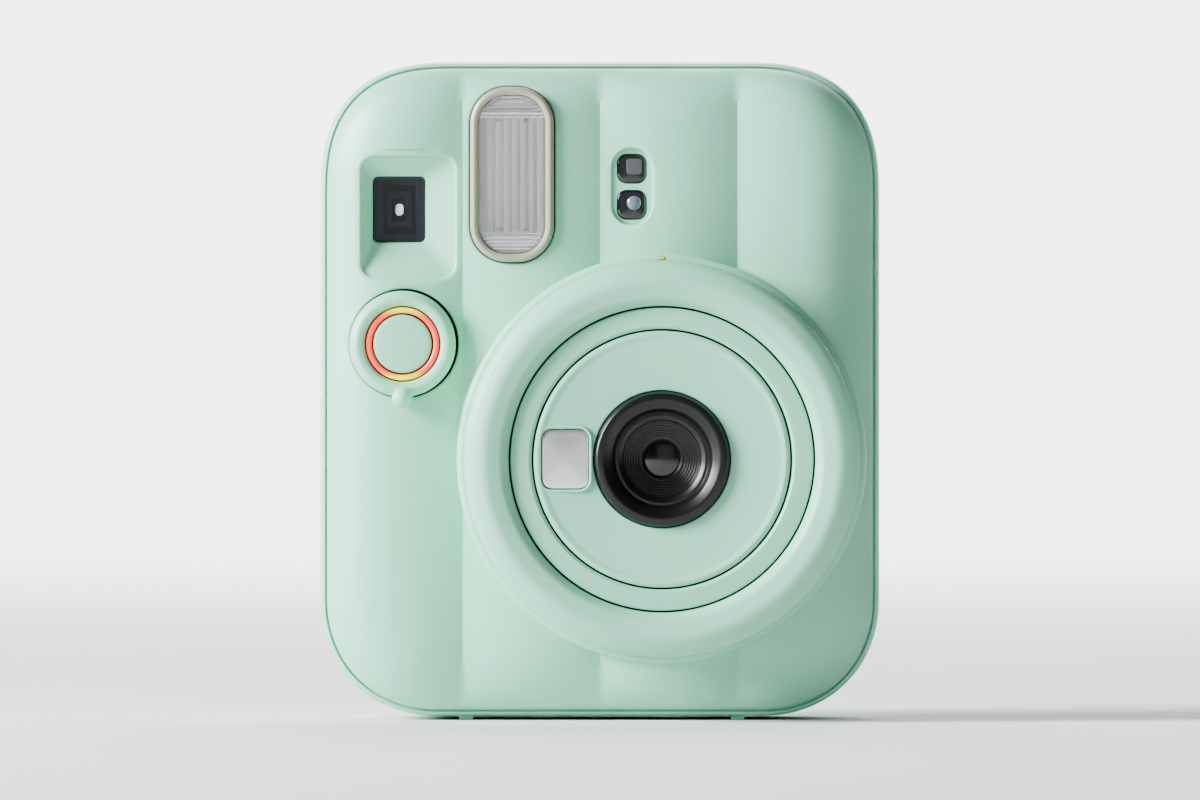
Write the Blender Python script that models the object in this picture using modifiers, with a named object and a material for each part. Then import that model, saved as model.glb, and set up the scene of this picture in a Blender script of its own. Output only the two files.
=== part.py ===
"""Instant camera for small portrait film, built as separate named parts.

Frame: X runs right as seen from the front, the front looks along -Y, Z is up.
The origin is the middle of the camera's box on the plane its feet stand on.
Lengths in the constants are millimetres turned to metres by MM.
"""
import math

import bmesh
import bpy
from mathutils import Matrix, Vector

MM = 0.001


def mm(*values):
    """Millimetres to metres: one number gives a number, more give a tuple."""
    scaled = tuple(value * MM for value in values)
    return scaled[0] if len(scaled) == 1 else scaled


# ---- driving dimensions -------------------------------------------------
BODY_HALF_WIDTH = mm(52.0)
BODY_BOTTOM = mm(0.7)
BODY_TOP = mm(122.4)
TOP_CORNER = (mm(25.0), 2.6)        # span and exponent of a superellipse
BOTTOM_CORNER = (mm(21.8), 2.1)
WALL = mm(2.2)
GAP = mm(0.3)

FACE_INSET = mm(1.3)                # the front face stops short of the sides
FACE_Y = mm(-11.3)                  # bottoms of the valleys between flutes
FLUTE_SAG = mm(2.0)
FLUTE_VALLEYS = mm(-25.5, 0.0, 25.5)
FACE_ROLL = mm(5.0)                 # how far the face falls back at its edge
ROLL_SIDE = mm(12.0)
ROLL_TOP = mm(11.0)
ROLL_BOTTOM = mm(15.0)
SPLIT_Y = mm(8.0)                   # front and rear covers meet here
REAR_Y = mm(33.3)

LENS_X = mm(11.4)
LENS_Z = mm(48.6)
RING_FRONT = mm(-33.3)
RING_BACK = mm(-14.9)
RING_RADIUS = mm(36.7)
RING_BORE = mm(28.2)
BASE_TUBE = mm(30.1, 31.6)          # fixed tube that the ring turns on
GUIDE_TUBE = mm(20.4, 21.9)         # fixed tube inside the inner barrel
COLLAR_RADIUS = mm(38.0)
COLLAR_FACE = mm(-14.5)
MIRROR_OFFSET = mm(-17.8)
MIRROR_SIZE = mm(8.4, 10.7)

FLASH_X, FLASH_Z = mm(-16.3, 101.3)
FLASH_SIZE = mm(15.5, 32.5)
FLASH_WINDOW = mm(12.2, 29.0)
FINDER_X, FINDER_Z = mm(-37.3, 94.9)
FINDER_WINDOW = mm(9.5, 11.9)
FUNNEL_X, FUNNEL_Z = mm(-35.6, 93.4)
FUNNEL_SIZE = mm(17.1, 22.2)
BUTTON_X, BUTTON_Z = mm(-36.6, 69.9)
SENSOR_X, SENSOR_Z = mm(5.9, 99.1)
SENSOR_PILL = mm(7.4, 14.3)
SENSOR_HIGH, SENSOR_LOW = mm(102.4, 95.7)
SENSOR_WINDOW = mm(5.3)

FILM_Y = mm(13.4)                   # the film's front face when it is exposed
CHAMBER_X = mm(-18.9, 41.7)         # room for a pack 60 mm wide
CHAMBER_Z = mm(8.1, 102.1)
CHAMBER_WALL = mm(1.2)
GATE = mm(46.0, 62.0)
DOOR_LEFT = mm(-23.6)               # the film door follows the body's outline from here
DOOR_INSET = mm(6.2)
DOOR_AXIS = mm(45.0, 33.1)          # X and Y of its upright axis
SLOT_X = mm(-17.1, 39.9)            # the film leaves at the top
SLOT_Y = mm(12.6, 17.4)

CELL_X = mm(-37.2)
CELL_RADIUS = mm(7.25)
CELL_Z = mm(12.2, 62.7)
CELL_Y = mm(3.3, 18.6)
BATTERY_DOOR_TOP = mm(60.4)
BATTERY_DOOR_END = mm(-40.2)
BATTERY_DOOR_Y = mm(-4.4, 23.7)
BATTERY_AXIS = mm(-40.2, 3.9)
BATTERY_GAP_X = mm(-38.8)          # the covers stop here, clear of the turning edge

GEAR_MODULE = mm(0.5)
ROLLER_Z = mm(107.2)
ROLLER_RADIUS = mm(3.35)
ROLLER_TEETH = 14
RUBBER_ROLLER_Y = mm(10.9)
METAL_ROLLER_Y = mm(17.9)
ROLLER_X = mm(-17.6, 40.4)
IDLER_Y, IDLER_Z = mm(7.65, 101.57)
IDLER_TEETH = (30, 12)
MOTOR_Y, MOTOR_Z = mm(-2.0, 104.2)
PINION_TEETH = 10

COUNTER_X, COUNTER_Z = mm(-35.0, 42.0)
SCREW_POSTS = mm(-46.2, 84.6), mm(-41.0, 110.0)     # X and Z
POST_FRONT = mm(-10.2)
FOOT_X = mm(-24.9, 25.6)
FOOT_Y = mm(0.0, 23.5)

# ---- finishes: sRGB colour, roughness, metallic ---------------------------
FINISHES = {
    "mint_abs": ("#B6D9CA", 0.42, 0.0),
    "greige_abs": ("#B9B6A6", 0.40, 0.0),
    "black_abs": ("#17181A", 0.35, 0.0),
    "dark_abs": ("#2A2B2D", 0.60, 0.0),
    "clear_plastic": ("#E6ECEE", 0.08, 0.0),
    "smoked_plastic": ("#1C1F22", 0.10, 0.0),
    "optical_glass": ("#8FA3AD", 0.04, 0.0),
    "mirror": ("#E9ECEC", 0.03, 1.0),
    "bright_aluminium": ("#D5D8DA", 0.18, 1.0),
    "steel": ("#A9ADB0", 0.30, 1.0),
    "lamp_plastic": ("#FF8A66", 0.35, 0.0),
    "yellow_paint": ("#F2C53D", 0.45, 0.0),
    "rubber": ("#222324", 0.85, 0.0),
    "circuit_board": ("#1F5A3E", 0.50, 0.0),
    "cell_label": ("#3E5C8A", 0.35, 0.0),
    "capacitor_sleeve": ("#20242C", 0.40, 0.0),
    "white_nylon": ("#E8E6DD", 0.50, 0.0),
}


def linear(channel):
    """One sRGB channel, 0 to 1, as linear light."""
    if channel <= 0.04045:
        return channel / 12.92
    return ((channel + 0.055) / 1.055) ** 2.4


def finish(name):
    """The Principled material of that name, made once."""
    found = bpy.data.materials.get(name)
    if found:
        return found
    colour, roughness, metallic = FINISHES[name]
    made = bpy.data.materials.new(name)
    made.use_nodes = True
    shader = made.node_tree.nodes["Principled BSDF"]
    channels = [int(colour[start:start + 2], 16) / 255 for start in (1, 3, 5)]
    shader.inputs["Base Color"].default_value = [*map(linear, channels), 1.0]
    shader.inputs["Roughness"].default_value = roughness
    shader.inputs["Metallic"].default_value = metallic
    return made


# ---- modelling helpers --------------------------------------------------
def clear_scene():
    for obj in list(bpy.data.objects):
        bpy.data.objects.remove(obj)


def collection(name):
    found = bpy.data.collections.get(name)
    if not found:
        found = bpy.data.collections.new(name)
        bpy.context.scene.collection.children.link(found)
    return found


def add_part(name, mesh, material, location=(0, 0, 0)):
    """A visible part: its mesh is local to location."""
    obj = bpy.data.objects.new(name, mesh)
    obj.location = location
    collection("instant_camera").objects.link(obj)
    mesh.materials.clear()
    mesh.materials.append(finish(material))
    mesh.shade_smooth()
    mesh.set_sharp_from_angle(angle=math.radians(35))
    return obj


def add_cutter(name, mesh, location=(0, 0, 0)):
    """A tool body for a Boolean, kept out of the model."""
    obj = bpy.data.objects.new(name, mesh)
    obj.location = location
    obj.hide_render = True
    obj.display_type = "WIRE"
    collection("cutters").objects.link(obj)
    return obj


def boolean(obj, tool, operation="DIFFERENCE"):
    modifier = obj.modifiers.new(operation.title() + "_" + tool.name, "BOOLEAN")
    modifier.operation = operation
    modifier.object = tool
    modifier.solver = "EXACT"


def box_mesh(low, high, round_edges=0.0, segments=2):
    """A box between two corners, its edges rounded if asked."""
    mesh = bpy.data.meshes.new("box")
    shape = bmesh.new()
    size = [top - bottom for bottom, top in zip(low, high)]
    middle = [(top + bottom) / 2 for bottom, top in zip(low, high)]
    place = Matrix.Translation(middle) @ Matrix.Diagonal((*size, 1.0))
    bmesh.ops.create_cube(shape, size=1.0, matrix=place)
    if round_edges:
        bmesh.ops.bevel(shape, geom=shape.edges[:], offset=round_edges, segments=segments,
                        profile=0.5, affect="EDGES")
    shape.to_mesh(mesh)
    shape.free()
    return mesh


def rod_mesh(radius, start, end, segments=24, end_radius=None):
    """A cylinder or cone between two points."""
    mesh = bpy.data.meshes.new("rod")
    shape = bmesh.new()
    start, end = Vector(start), Vector(end)
    span = end - start
    turn = Vector((0, 0, 1)).rotation_difference(span.normalized()).to_matrix().to_4x4()
    place = Matrix.Translation((start + end) / 2) @ turn
    bmesh.ops.create_cone(shape, cap_ends=True, segments=segments, radius1=radius,
                          radius2=radius if end_radius is None else end_radius,
                          depth=span.length, matrix=place)
    shape.to_mesh(mesh)
    shape.free()
    return mesh


def ball_mesh(radius, centre, segments=16):
    mesh = bpy.data.meshes.new("ball")
    shape = bmesh.new()
    bmesh.ops.create_uvsphere(shape, u_segments=segments, v_segments=segments // 2,
                              radius=radius, matrix=Matrix.Translation(centre))
    shape.to_mesh(mesh)
    shape.free()
    return mesh


def add_block(name, material, low, high, round_edges=0.0):
    return add_part(name, box_mesh(low, high, round_edges), material)


def add_rod(name, material, radius, start, end, segments=24):
    return add_part(name, rod_mesh(radius, start, end, segments), material)


def rounded_rectangle(x, z, width, height, radius, steps=4):
    """Points of a rounded rectangle, anticlockwise."""
    points = []
    for corner, (side, up) in enumerate(((1, 1), (-1, 1), (-1, -1), (1, -1))):
        for step in range(steps + 1):
            angle = math.radians(90 * corner + 90 * step / steps)
            points.append((x + side * (width / 2 - radius) + radius * math.cos(angle),
                           z + up * (height / 2 - radius) + radius * math.sin(angle)))
    return points


def circle(x, z, radius, steps=32):
    turns = [math.tau * step / steps for step in range(steps)]
    return [(x + radius * math.cos(turn), z + radius * math.sin(turn)) for turn in turns]


def outline_mesh(loops, y_low, y_high):
    """Flat outline in X and Z, with holes, extruded along Y; returned as a welded mesh."""
    curve = bpy.data.curves.new("outline", "CURVE")
    curve.dimensions = "2D"
    curve.fill_mode = "BOTH"
    curve.extrude = (y_high - y_low) / 2
    for loop in loops:
        spline = curve.splines.new("POLY")
        spline.points.add(len(loop) - 1)
        for point, (x, z) in zip(spline.points, loop):
            point.co = (x, z, 0, 1)
        spline.use_cyclic_u = True
    holder = bpy.data.objects.new("outline", curve)
    collection("cutters").objects.link(holder)
    bpy.context.view_layer.update()
    depsgraph = bpy.context.evaluated_depsgraph_get()
    mesh = bpy.data.meshes.new_from_object(holder.evaluated_get(depsgraph))
    bpy.data.objects.remove(holder)
    shape = bmesh.new()
    shape.from_mesh(mesh)
    bmesh.ops.remove_doubles(shape, verts=shape.verts, dist=1e-6)
    stand = Matrix.Translation((0, (y_low + y_high) / 2, 0)) @ Matrix.Rotation(math.pi / 2, 4, "X")
    bmesh.ops.transform(shape, matrix=stand, verts=shape.verts)
    bmesh.ops.recalc_face_normals(shape, faces=shape.faces)
    shape.to_mesh(mesh)
    shape.free()
    return mesh


def add_plate(name, material, loops, y_low, y_high):
    return add_part(name, outline_mesh(loops, y_low, y_high), material)


def turned_mesh(profile, steps=36):
    """Profile of (radius, y) points, anticlockwise with y forward, turned about the Y axis.

    A profile that starts and ends on the axis is solid; any other is a closed ring.
    """
    solid = profile[0][0] == 0 and profile[-1][0] == 0
    mesh = bpy.data.meshes.new("turned")
    count = len(profile)
    edges = [(i, i + 1) for i in range(count - 1)]
    if not solid:
        edges.append((count - 1, 0))
    mesh.from_pydata([(radius, 0, -y) for radius, y in profile], edges, [])
    holder = bpy.data.objects.new("turned", mesh)
    collection("cutters").objects.link(holder)
    screw = holder.modifiers.new("Turn", "SCREW")
    screw.steps = steps
    screw.render_steps = steps
    screw.use_merge_vertices = True
    screw.merge_threshold = 1e-6
    bpy.context.view_layer.update()
    depsgraph = bpy.context.evaluated_depsgraph_get()
    result = bpy.data.meshes.new_from_object(holder.evaluated_get(depsgraph))
    bpy.data.objects.remove(holder)
    shape = bmesh.new()
    shape.from_mesh(result)
    bmesh.ops.remove_doubles(shape, verts=shape.verts, dist=1e-6)
    bmesh.ops.transform(shape, matrix=Matrix.Rotation(math.pi / 2, 4, "X"), verts=shape.verts)
    bmesh.ops.recalc_face_normals(shape, faces=shape.faces)
    shape.to_mesh(result)
    shape.free()
    return result


def add_turned(name, material, profile, x, z, steps=36):
    """A turned part whose origin is on its own axis, parallel to Y, at x and z."""
    return add_part(name, turned_mesh([mm(*point) for point in profile], steps), material, (x, 0, z))


# ---- the two covers -----------------------------------------------------
def corner_drop(distance, span, exponent):
    """How far a superellipse corner has fallen at a distance from the side."""
    if distance >= span:
        return 0.0
    return span * (1 - (1 - (1 - distance / span) ** exponent) ** (1 / exponent))


def body_span(x, inset):
    """Lowest and highest Z of the body's outline at x, drawn in by inset."""
    distance = max(0.0, BODY_HALF_WIDTH - inset - abs(x))
    top_span, top_power = TOP_CORNER
    bottom_span, bottom_power = BOTTOM_CORNER
    low = BODY_BOTTOM + inset + corner_drop(distance, bottom_span - inset, bottom_power)
    high = BODY_TOP - inset - corner_drop(distance, top_span - inset, top_power)
    return low, high


def face_columns(inset):
    """X of the columns of the face's grid: close together at the rounded sides."""
    half = BODY_HALF_WIDTH - inset
    outer = FLUTE_VALLEYS[-1]
    ends = [half - (half - outer) * (1 - math.cos(math.radians(90 * k / 6)) ** 0.85)
            for k in range(6)]
    middle = [outer * (1 - k / 4) for k in range(5)]
    right = ends + middle
    return [-x for x in right] + right[-2::-1]


def body_ring(inset, y, rows):
    """Closed loop of points round the body's outline, anticlockwise from the front."""
    columns = face_columns(inset)
    left_low, left_high = body_span(columns[0], inset)
    side = [left_low + (left_high - left_low) * k / rows for k in range(1, rows)]
    loop = [(x, body_span(x, inset)[0]) for x in columns]
    loop += [(columns[-1], z) for z in side]
    loop += [(x, body_span(x, inset)[1]) for x in reversed(columns)]
    loop += [(columns[0], z) for z in reversed(side)]
    return [Vector((x, y, z)) for x, z in loop]


def flute_rise(x):
    """Height of the flute over the valleys at x, from 0 to 1."""
    edges = (-BODY_HALF_WIDTH + FACE_INSET, *FLUTE_VALLEYS, BODY_HALF_WIDTH - FACE_INSET)
    for left, right in zip(edges, edges[1:]):
        if left <= x <= right:
            across = (2 * x - left - right) / (right - left)
            return 1 - across * across
    return 0.0


def face_point(x, z):
    """Point of the fluted front face, which rolls back towards its edge."""
    low, high = body_span(x, FACE_INSET)
    side = max(0.0, 1 - (BODY_HALF_WIDTH - FACE_INSET - abs(x)) / ROLL_SIDE)
    up = max(0.0, 1 - (high - z) / ROLL_TOP, 1 - (z - low) / ROLL_BOTTOM)
    edge = min(1.0, math.hypot(side, up))
    roll = FACE_ROLL * (1 - math.sqrt(1 - edge * edge))
    sag = FLUTE_SAG * flute_rise(x) * (1 - edge ** 4)
    return Vector((x, FACE_Y - sag + roll, z))


def bridge_rings(shape, rings):
    """Join rings of vertices one after the other with four-sided faces."""
    for first, second in zip(rings, rings[1:]):
        count = len(first)
        for index in range(count):
            after = (index + 1) % count
            shape.faces.new((first[index], first[after], second[after], second[index]))


def front_shell_mesh(rows=8):
    """Open front shell: the face's grid and the band round its sides."""
    shape = bmesh.new()
    columns = face_columns(FACE_INSET)
    grid = []
    for x in columns:
        low, high = body_span(x, FACE_INSET)
        heights = [low + (high - low) * row / rows for row in range(rows + 1)]
        grid.append([shape.verts.new(face_point(x, z)) for z in heights])
    for left, right in zip(grid, grid[1:]):
        for row in range(rows):
            shape.faces.new((left[row], right[row], right[row + 1], left[row + 1]))
    edge = [column[0] for column in grid] + grid[-1][1:-1]
    edge += [column[-1] for column in reversed(grid)] + grid[0][-2:0:-1]
    rings = [edge]
    for inset, y in (mm(0.4, -5.0), mm(0.0, -2.5), (0.0, SPLIT_Y - GAP / 2)):
        rings.append([shape.verts.new(point) for point in body_ring(inset, y, rows)])
    bridge_rings(shape, rings)
    return close_shell(shape, "front_shell")


def rear_shell_mesh(rows=4):
    """Open rear shell: the sides, rounded over to a flat back."""
    shape = bmesh.new()
    rings = []
    for inset, y in ((0.0, SPLIT_Y + GAP / 2), mm(0.0, 26.5), mm(1.3, 30.8), (mm(4.6), REAR_Y)):
        rings.append([shape.verts.new(point) for point in body_ring(inset, y, rows)])
    bridge_rings(shape, rings)
    shape.faces.new(rings[-1])
    return close_shell(shape, "rear_shell")


def close_shell(shape, name):
    bmesh.ops.recalc_face_normals(shape, faces=shape.faces)
    mesh = bpy.data.meshes.new(name)
    shape.to_mesh(mesh)
    shape.free()
    return mesh


def thicken(obj, thickness):
    """Give an open shell its wall, on the inner side; flat triangles then cut cleanly."""
    modifier = obj.modifiers.new("Wall", "SOLIDIFY")
    modifier.thickness = thickness
    modifier.offset = -1
    modifier.use_even_offset = True
    obj.modifiers.new("Triangles", "TRIANGULATE")


def drill_y(obj, name, outline, front, back):
    """Cut an outline through a part along Y."""
    boolean(obj, add_cutter(name, outline_mesh([outline], front, back)))


def build_front_cover():
    cover = add_part("front_cover", front_shell_mesh(), "mint_abs")
    thicken(cover, WALL)
    funnel_block = box_mesh((FUNNEL_X - mm(9.6), mm(-11.6), FUNNEL_Z - mm(12.1)),
                            (FUNNEL_X + mm(9.6), mm(-7.0), FUNNEL_Z + mm(12.1)))
    boolean(cover, add_cutter("funnel_block", funnel_block), "UNION")
    boolean(cover, add_cutter("funnel", funnel_mesh()))
    drill_y(cover, "finder_hole", rounded_rectangle(FINDER_X, FINDER_Z, FINDER_WINDOW[0] + 2 * GAP,
                                                    FINDER_WINDOW[1] + 2 * GAP, mm(0.9), 2),
            mm(-14), mm(-5))
    drill_y(cover, "flash_hole", rounded_rectangle(FLASH_X, FLASH_Z, FLASH_SIZE[0] + 2 * GAP,
                                                   FLASH_SIZE[1] + 2 * GAP, mm(7.0), 6),
            mm(-16), mm(-5))
    button_hole = rod_mesh(mm(10.2), (BUTTON_X, mm(-18), BUTTON_Z), (BUTTON_X, mm(-5), BUTTON_Z), 28)
    boolean(cover, add_cutter("button_hole", button_hole))
    drill_y(cover, "sensor_pill", rounded_rectangle(SENSOR_X, SENSOR_Z, *SENSOR_PILL, mm(3.6), 6),
            mm(-16), mm(-11.4))
    for name, height in (("upper", SENSOR_HIGH), ("lower", SENSOR_LOW)):
        hole = SENSOR_WINDOW + 2 * GAP
        drill_y(cover, "sensor_hole_" + name,
                rounded_rectangle(SENSOR_X, height, hole, hole, mm(1.8), 3), mm(-15), mm(-5))
    boolean(cover, add_cutter("battery_gap_front", battery_gap_mesh(-4.7, 12.0)))
    cut_battery_socket(cover, "front")
    cut_foot_pockets(cover, "front", FOOT_Y[0])
    for number, (x, z) in enumerate(SCREW_POSTS):
        post = rod_mesh(mm(2.6), (x, POST_FRONT, z), (x, mm(28.8), z), 12)
        boolean(cover, add_cutter("screw_post_" + str(number), post), "UNION")
        bore = rod_mesh(mm(1.4), (x, mm(16.5), z), (x, mm(32), z), 12)
        boolean(cover, add_cutter("screw_bore_" + str(number), bore))
    add_lens_collar(cover)
    return cover


def add_lens_collar(cover):
    """The raised land round the lens ring, with its hole and the pocket for the index mark."""
    hole_radius = BASE_TUBE[1] + mm(0.6)
    lens_hole = rod_mesh(hole_radius + mm(2), (LENS_X, mm(-20), LENS_Z), (LENS_X, mm(2), LENS_Z), 36)
    boolean(cover, add_cutter("lens_hole", lens_hole))
    collar = turned_mesh([(hole_radius, COLLAR_FACE), (COLLAR_RADIUS - mm(0.8), COLLAR_FACE),
                          (COLLAR_RADIUS, COLLAR_FACE + mm(0.8)), (COLLAR_RADIUS, mm(-9.6)),
                          (hole_radius, mm(-9.6))])
    collar_tool = add_cutter("lens_collar", collar, (LENS_X, 0, LENS_Z))
    pocket = rounded_rectangle(0, mm(37.15), mm(1.8), mm(1.1), mm(0.3), 1)
    boolean(collar_tool, add_cutter("mark_pocket", outline_mesh([pocket], mm(-15), mm(-13.4)), (LENS_X, 0, LENS_Z)))
    boolean(cover, collar_tool, "UNION")


def funnel_mesh():
    """The tapered recess in front of the viewfinder, as a cutter."""
    shape = bmesh.new()
    wide = rounded_rectangle(FUNNEL_X, FUNNEL_Z, *FUNNEL_SIZE, mm(2.2), 3)
    narrow = rounded_rectangle(FINDER_X, FINDER_Z, FINDER_WINDOW[0] + 2 * GAP,
                               FINDER_WINDOW[1] + 2 * GAP, mm(0.9), 3)
    rings = []
    for outline, y in ((wide, mm(-16)), (wide, mm(-13.2)), (narrow, mm(-8.8))):
        rings.append([shape.verts.new((x, y, z)) for x, z in outline])
    bridge_rings(shape, rings)
    shape.faces.new(rings[0])
    shape.faces.new(rings[-1])
    return close_shell(shape, "funnel")


def battery_gap_mesh(front, back):
    """Room for the battery door at the lower left corner, between two Y values in millimetres."""
    return box_mesh((mm(-60), mm(front), mm(-5)),
                    (BATTERY_GAP_X, mm(back), BATTERY_DOOR_TOP + GAP))


def cut_battery_socket(cover, side):
    """Blind hole that one end of the battery door's rod turns in."""
    axis_x, axis_z = BATTERY_AXIS
    ends = mm(-5.3, 0.0) if side == "front" else mm(20.0, 24.9)
    socket = rod_mesh(mm(0.8), (axis_x, ends[0], axis_z), (axis_x, ends[1], axis_z), 10)
    boolean(cover, add_cutter("door_socket_" + side, socket))


def cut_foot_pockets(cover, side, y):
    for number, x in enumerate(FOOT_X):
        pocket = box_mesh((x - mm(1.6), y - mm(4.3), mm(-1)), (x + mm(1.6), y + mm(4.3), mm(1.5)))
        boolean(cover, add_cutter("foot_pocket_" + side + str(number), pocket))


def build_rear_cover():
    cover = add_part("rear_cover", rear_shell_mesh(), "mint_abs")
    thicken(cover, WALL)
    drill_y(cover, "door_opening", door_outline(GAP, mm(0.8)), mm(28), mm(36))
    slot = box_mesh((SLOT_X[0], SLOT_Y[0], mm(116)), (SLOT_X[1], SLOT_Y[1], mm(125)))
    boolean(cover, add_cutter("film_slot", slot))
    boolean(cover, add_cutter("eyepiece_hole", rod_mesh(mm(5.0), (FINDER_X, mm(28), FINDER_Z),
                                                        (FINDER_X, mm(36), FINDER_Z), 32)))
    drill_y(cover, "counter_window", rounded_rectangle(COUNTER_X, COUNTER_Z + mm(3.6), mm(4.2), mm(3.4), mm(0.8), 2),
            mm(28), mm(36))
    for number, (x, z) in enumerate(SCREW_POSTS):
        head = rod_mesh(mm(2.4), (x, mm(32.0), z), (x, mm(36), z), 20)
        boolean(cover, add_cutter("screw_head_room_" + str(number), head))
        shank = rod_mesh(mm(1.4), (x, mm(28), z), (x, mm(36), z), 16)
        boolean(cover, add_cutter("screw_hole_" + str(number), shank))
    boolean(cover, add_cutter("battery_gap_rear", battery_gap_mesh(4.0, 24.0)))
    cut_battery_socket(cover, "rear")
    cut_foot_pockets(cover, "rear", FOOT_Y[1])
    return cover


def build_small_trim():
    """The index mark, the feet and the screws that hold the covers."""
    mark = rounded_rectangle(LENS_X, LENS_Z + mm(37.15), mm(1.2), mm(0.5), mm(0.15), 1)
    add_plate("index_mark", "yellow_paint", [mark], mm(-14.5), mm(-13.7))
    number = 0
    for y in FOOT_Y:
        for x in FOOT_X:
            number += 1
            add_block("foot_" + str(number), "rubber", (x - mm(1.3), y - mm(4), 0),
                      (x + mm(1.3), y + mm(4), mm(1.2)))
    for number, (x, z) in enumerate(SCREW_POSTS, 1):
        profile = [(0, 32.3), (0.8, 32.3), (0.8, 32.7), (1.0, 33.1), (2.0, 33.0), (2.1, 32.4), (1.1, 32.35),
                   (1.1, 18.0), (0, 17.4)]
        add_turned("case_screw_" + str(number), "steel", profile[::-1], x, z, 16)


# ---- lens ring and telescoping barrels ------------------------------------
def ring_points(steps=6):
    """Outer profile of the lens ring in millimetres: a half doughnut over a straight skirt."""
    bore, radius = RING_BORE / MM, RING_RADIUS / MM
    front, back = RING_FRONT / MM, RING_BACK / MM
    crest = 33.0
    points = [(bore, front + 2.0)]
    for step in range(1, steps + 1):
        turn = math.radians(90 * step / steps)
        points.append((bore + (crest - bore) * math.sin(turn), front + 2.0 * math.cos(turn) ** 1.5))
    for step in range(1, steps):
        turn = math.radians(90 * step / steps)
        points.append((crest + (radius - crest) * math.sin(turn), front + 7.0 * (1 - math.cos(turn))))
    return points + [(radius, front + 7.0), (radius, back)]


def build_lens_ring():
    outer = ring_points()
    inner = [(34.8, RING_BACK / MM), (34.8, -26.0), (34.2, -29.0), (32.6, -30.9), (30.0, -30.9),
             (29.6, -30.2), (29.6, -15.6), (RING_BORE / MM, -15.6)]
    add_turned("lens_ring", "mint_abs", outer + inner, LENS_X, LENS_Z)
    barrel = [(24.0, -31.0), (26.6, -31.4), (27.5, -31.2), (27.9, -30.7), (27.9, -13.2), (26.8, -13.2),
              (26.8, -29.4), (25.2, -29.4), (25.2, -13.2), (24.0, -13.2)]
    add_turned("outer_barrel", "mint_abs", barrel, LENS_X, LENS_Z)
    base = [(GUIDE_TUBE[0] / MM, -27.0), (GUIDE_TUBE[1] / MM, -27.0), (GUIDE_TUBE[1] / MM, -7.8),
            (BASE_TUBE[0] / MM, -7.8), (BASE_TUBE[0] / MM, -30.4), (BASE_TUBE[1] / MM, -30.4),
            (BASE_TUBE[1] / MM, -7.8), (34.5, -7.8), (34.5, -6.4), (GUIDE_TUBE[0] / MM, -6.4)]
    add_turned("lens_base", "dark_abs", base, LENS_X, LENS_Z)


def build_inner_barrel():
    """The front panel with its tube, and what it carries."""
    shell = [(12.7, -30.6), (22.6, -31.2), (23.3, -31.0), (23.65, -30.4), (23.65, -14.6), (22.4, -14.6),
             (22.4, -29.4), (12.7, -29.2)]
    barrel = add_turned("inner_barrel", "mint_abs", shell, LENS_X, LENS_Z)
    pocket = rounded_rectangle(MIRROR_OFFSET, 0, MIRROR_SIZE[0] + 2 * GAP, MIRROR_SIZE[1] + 2 * GAP, mm(2.1), 4)
    boolean(barrel, add_cutter("mirror_pocket", outline_mesh([pocket], mm(-33), mm(-27)), (LENS_X, 0, LENS_Z)))
    for number in range(3):
        turn = math.radians(90 + 120 * number)
        x, z = mm(15.2) * math.cos(turn), mm(15.2) * math.sin(turn)
        post = rod_mesh(mm(1.5), (x, mm(-30.0), z), (x, mm(-23.4), z), 12)
        boolean(barrel, add_cutter("panel_post_" + str(number), post, (LENS_X, 0, LENS_Z)), "UNION")
    mirror = rounded_rectangle(LENS_X + MIRROR_OFFSET, LENS_Z, *MIRROR_SIZE, mm(1.8), 4)
    add_plate("selfie_mirror", "mirror", [mirror], mm(-31.0), mm(-29.6))
    bezel = [(12.3, -30.6), (12.0, -31.5), (10.8, -31.9), (9.4, -31.3), (8.5, -30.0),
             (6.9, -29.3), (5.0, -27.8), (3.2, -26.6), (3.2, -26.1), (13.2, -26.1), (13.2, -27.2), (12.3, -27.4)]
    add_turned("lens_bezel", "black_abs", bezel, LENS_X, LENS_Z, 28)
    front = [(0, -25.8), (4.6, -25.8), (4.6, -24.6), (2.4, -24.3), (0, -24.2)]
    add_turned("front_lens", "optical_glass", front, LENS_X, LENS_Z, 20)
    rear = [(0, -19.4), (2.4, -19.3), (4.8, -18.8), (4.8, -17.6), (0, -17.6)]
    add_turned("rear_lens", "optical_glass", rear, LENS_X, LENS_Z, 20)
    aperture = circle(LENS_X, LENS_Z, mm(3.4), 24)
    rim = circle(LENS_X, LENS_Z, mm(19.0), 32)
    add_plate("shutter_base", "dark_abs", [rim, aperture], mm(-23.0), mm(-21.6))
    add_plate("shutter_cell", "dark_abs", [circle(LENS_X, LENS_Z, mm(7.0)), circle(LENS_X, LENS_Z, mm(5.2))],
              mm(-21.2), mm(-17.2))
    build_shutter_drive()


def build_shutter_drive():
    """The blade turns about its pivot, drawn by a small solenoid beside the rear lens."""
    pivot = Vector((mm(9.0), 0, mm(5.0)))
    disc = circle(-pivot.x, -pivot.z, mm(4.6), 20)
    hub = circle(0, 0, mm(1.8), 12)
    blade = add_part("shutter_blade", outline_mesh([disc], mm(-24.0), mm(-23.4)), "steel",
                     (LENS_X + pivot.x, 0, LENS_Z + pivot.z))
    for name, tool in (("blade_hub", outline_mesh([hub], mm(-24.3), mm(-23.3))),
                       ("blade_arm", box_mesh((mm(-6.5), mm(-24.0), mm(-1.1)), (0, mm(-23.4), mm(1.1))))):
        cutter = add_cutter(name, tool, blade.location)
        if name == "blade_arm":
            cutter.rotation_euler = (0, -math.atan2(pivot.z, pivot.x), 0)
        boolean(blade, cutter, "UNION")
    add_block("shutter_solenoid", "steel", (LENS_X - mm(14.0), mm(-21.2), LENS_Z - mm(9.0)),
              (LENS_X - mm(8.0), mm(-14.2), LENS_Z + mm(3.0)), mm(0.6))


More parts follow.
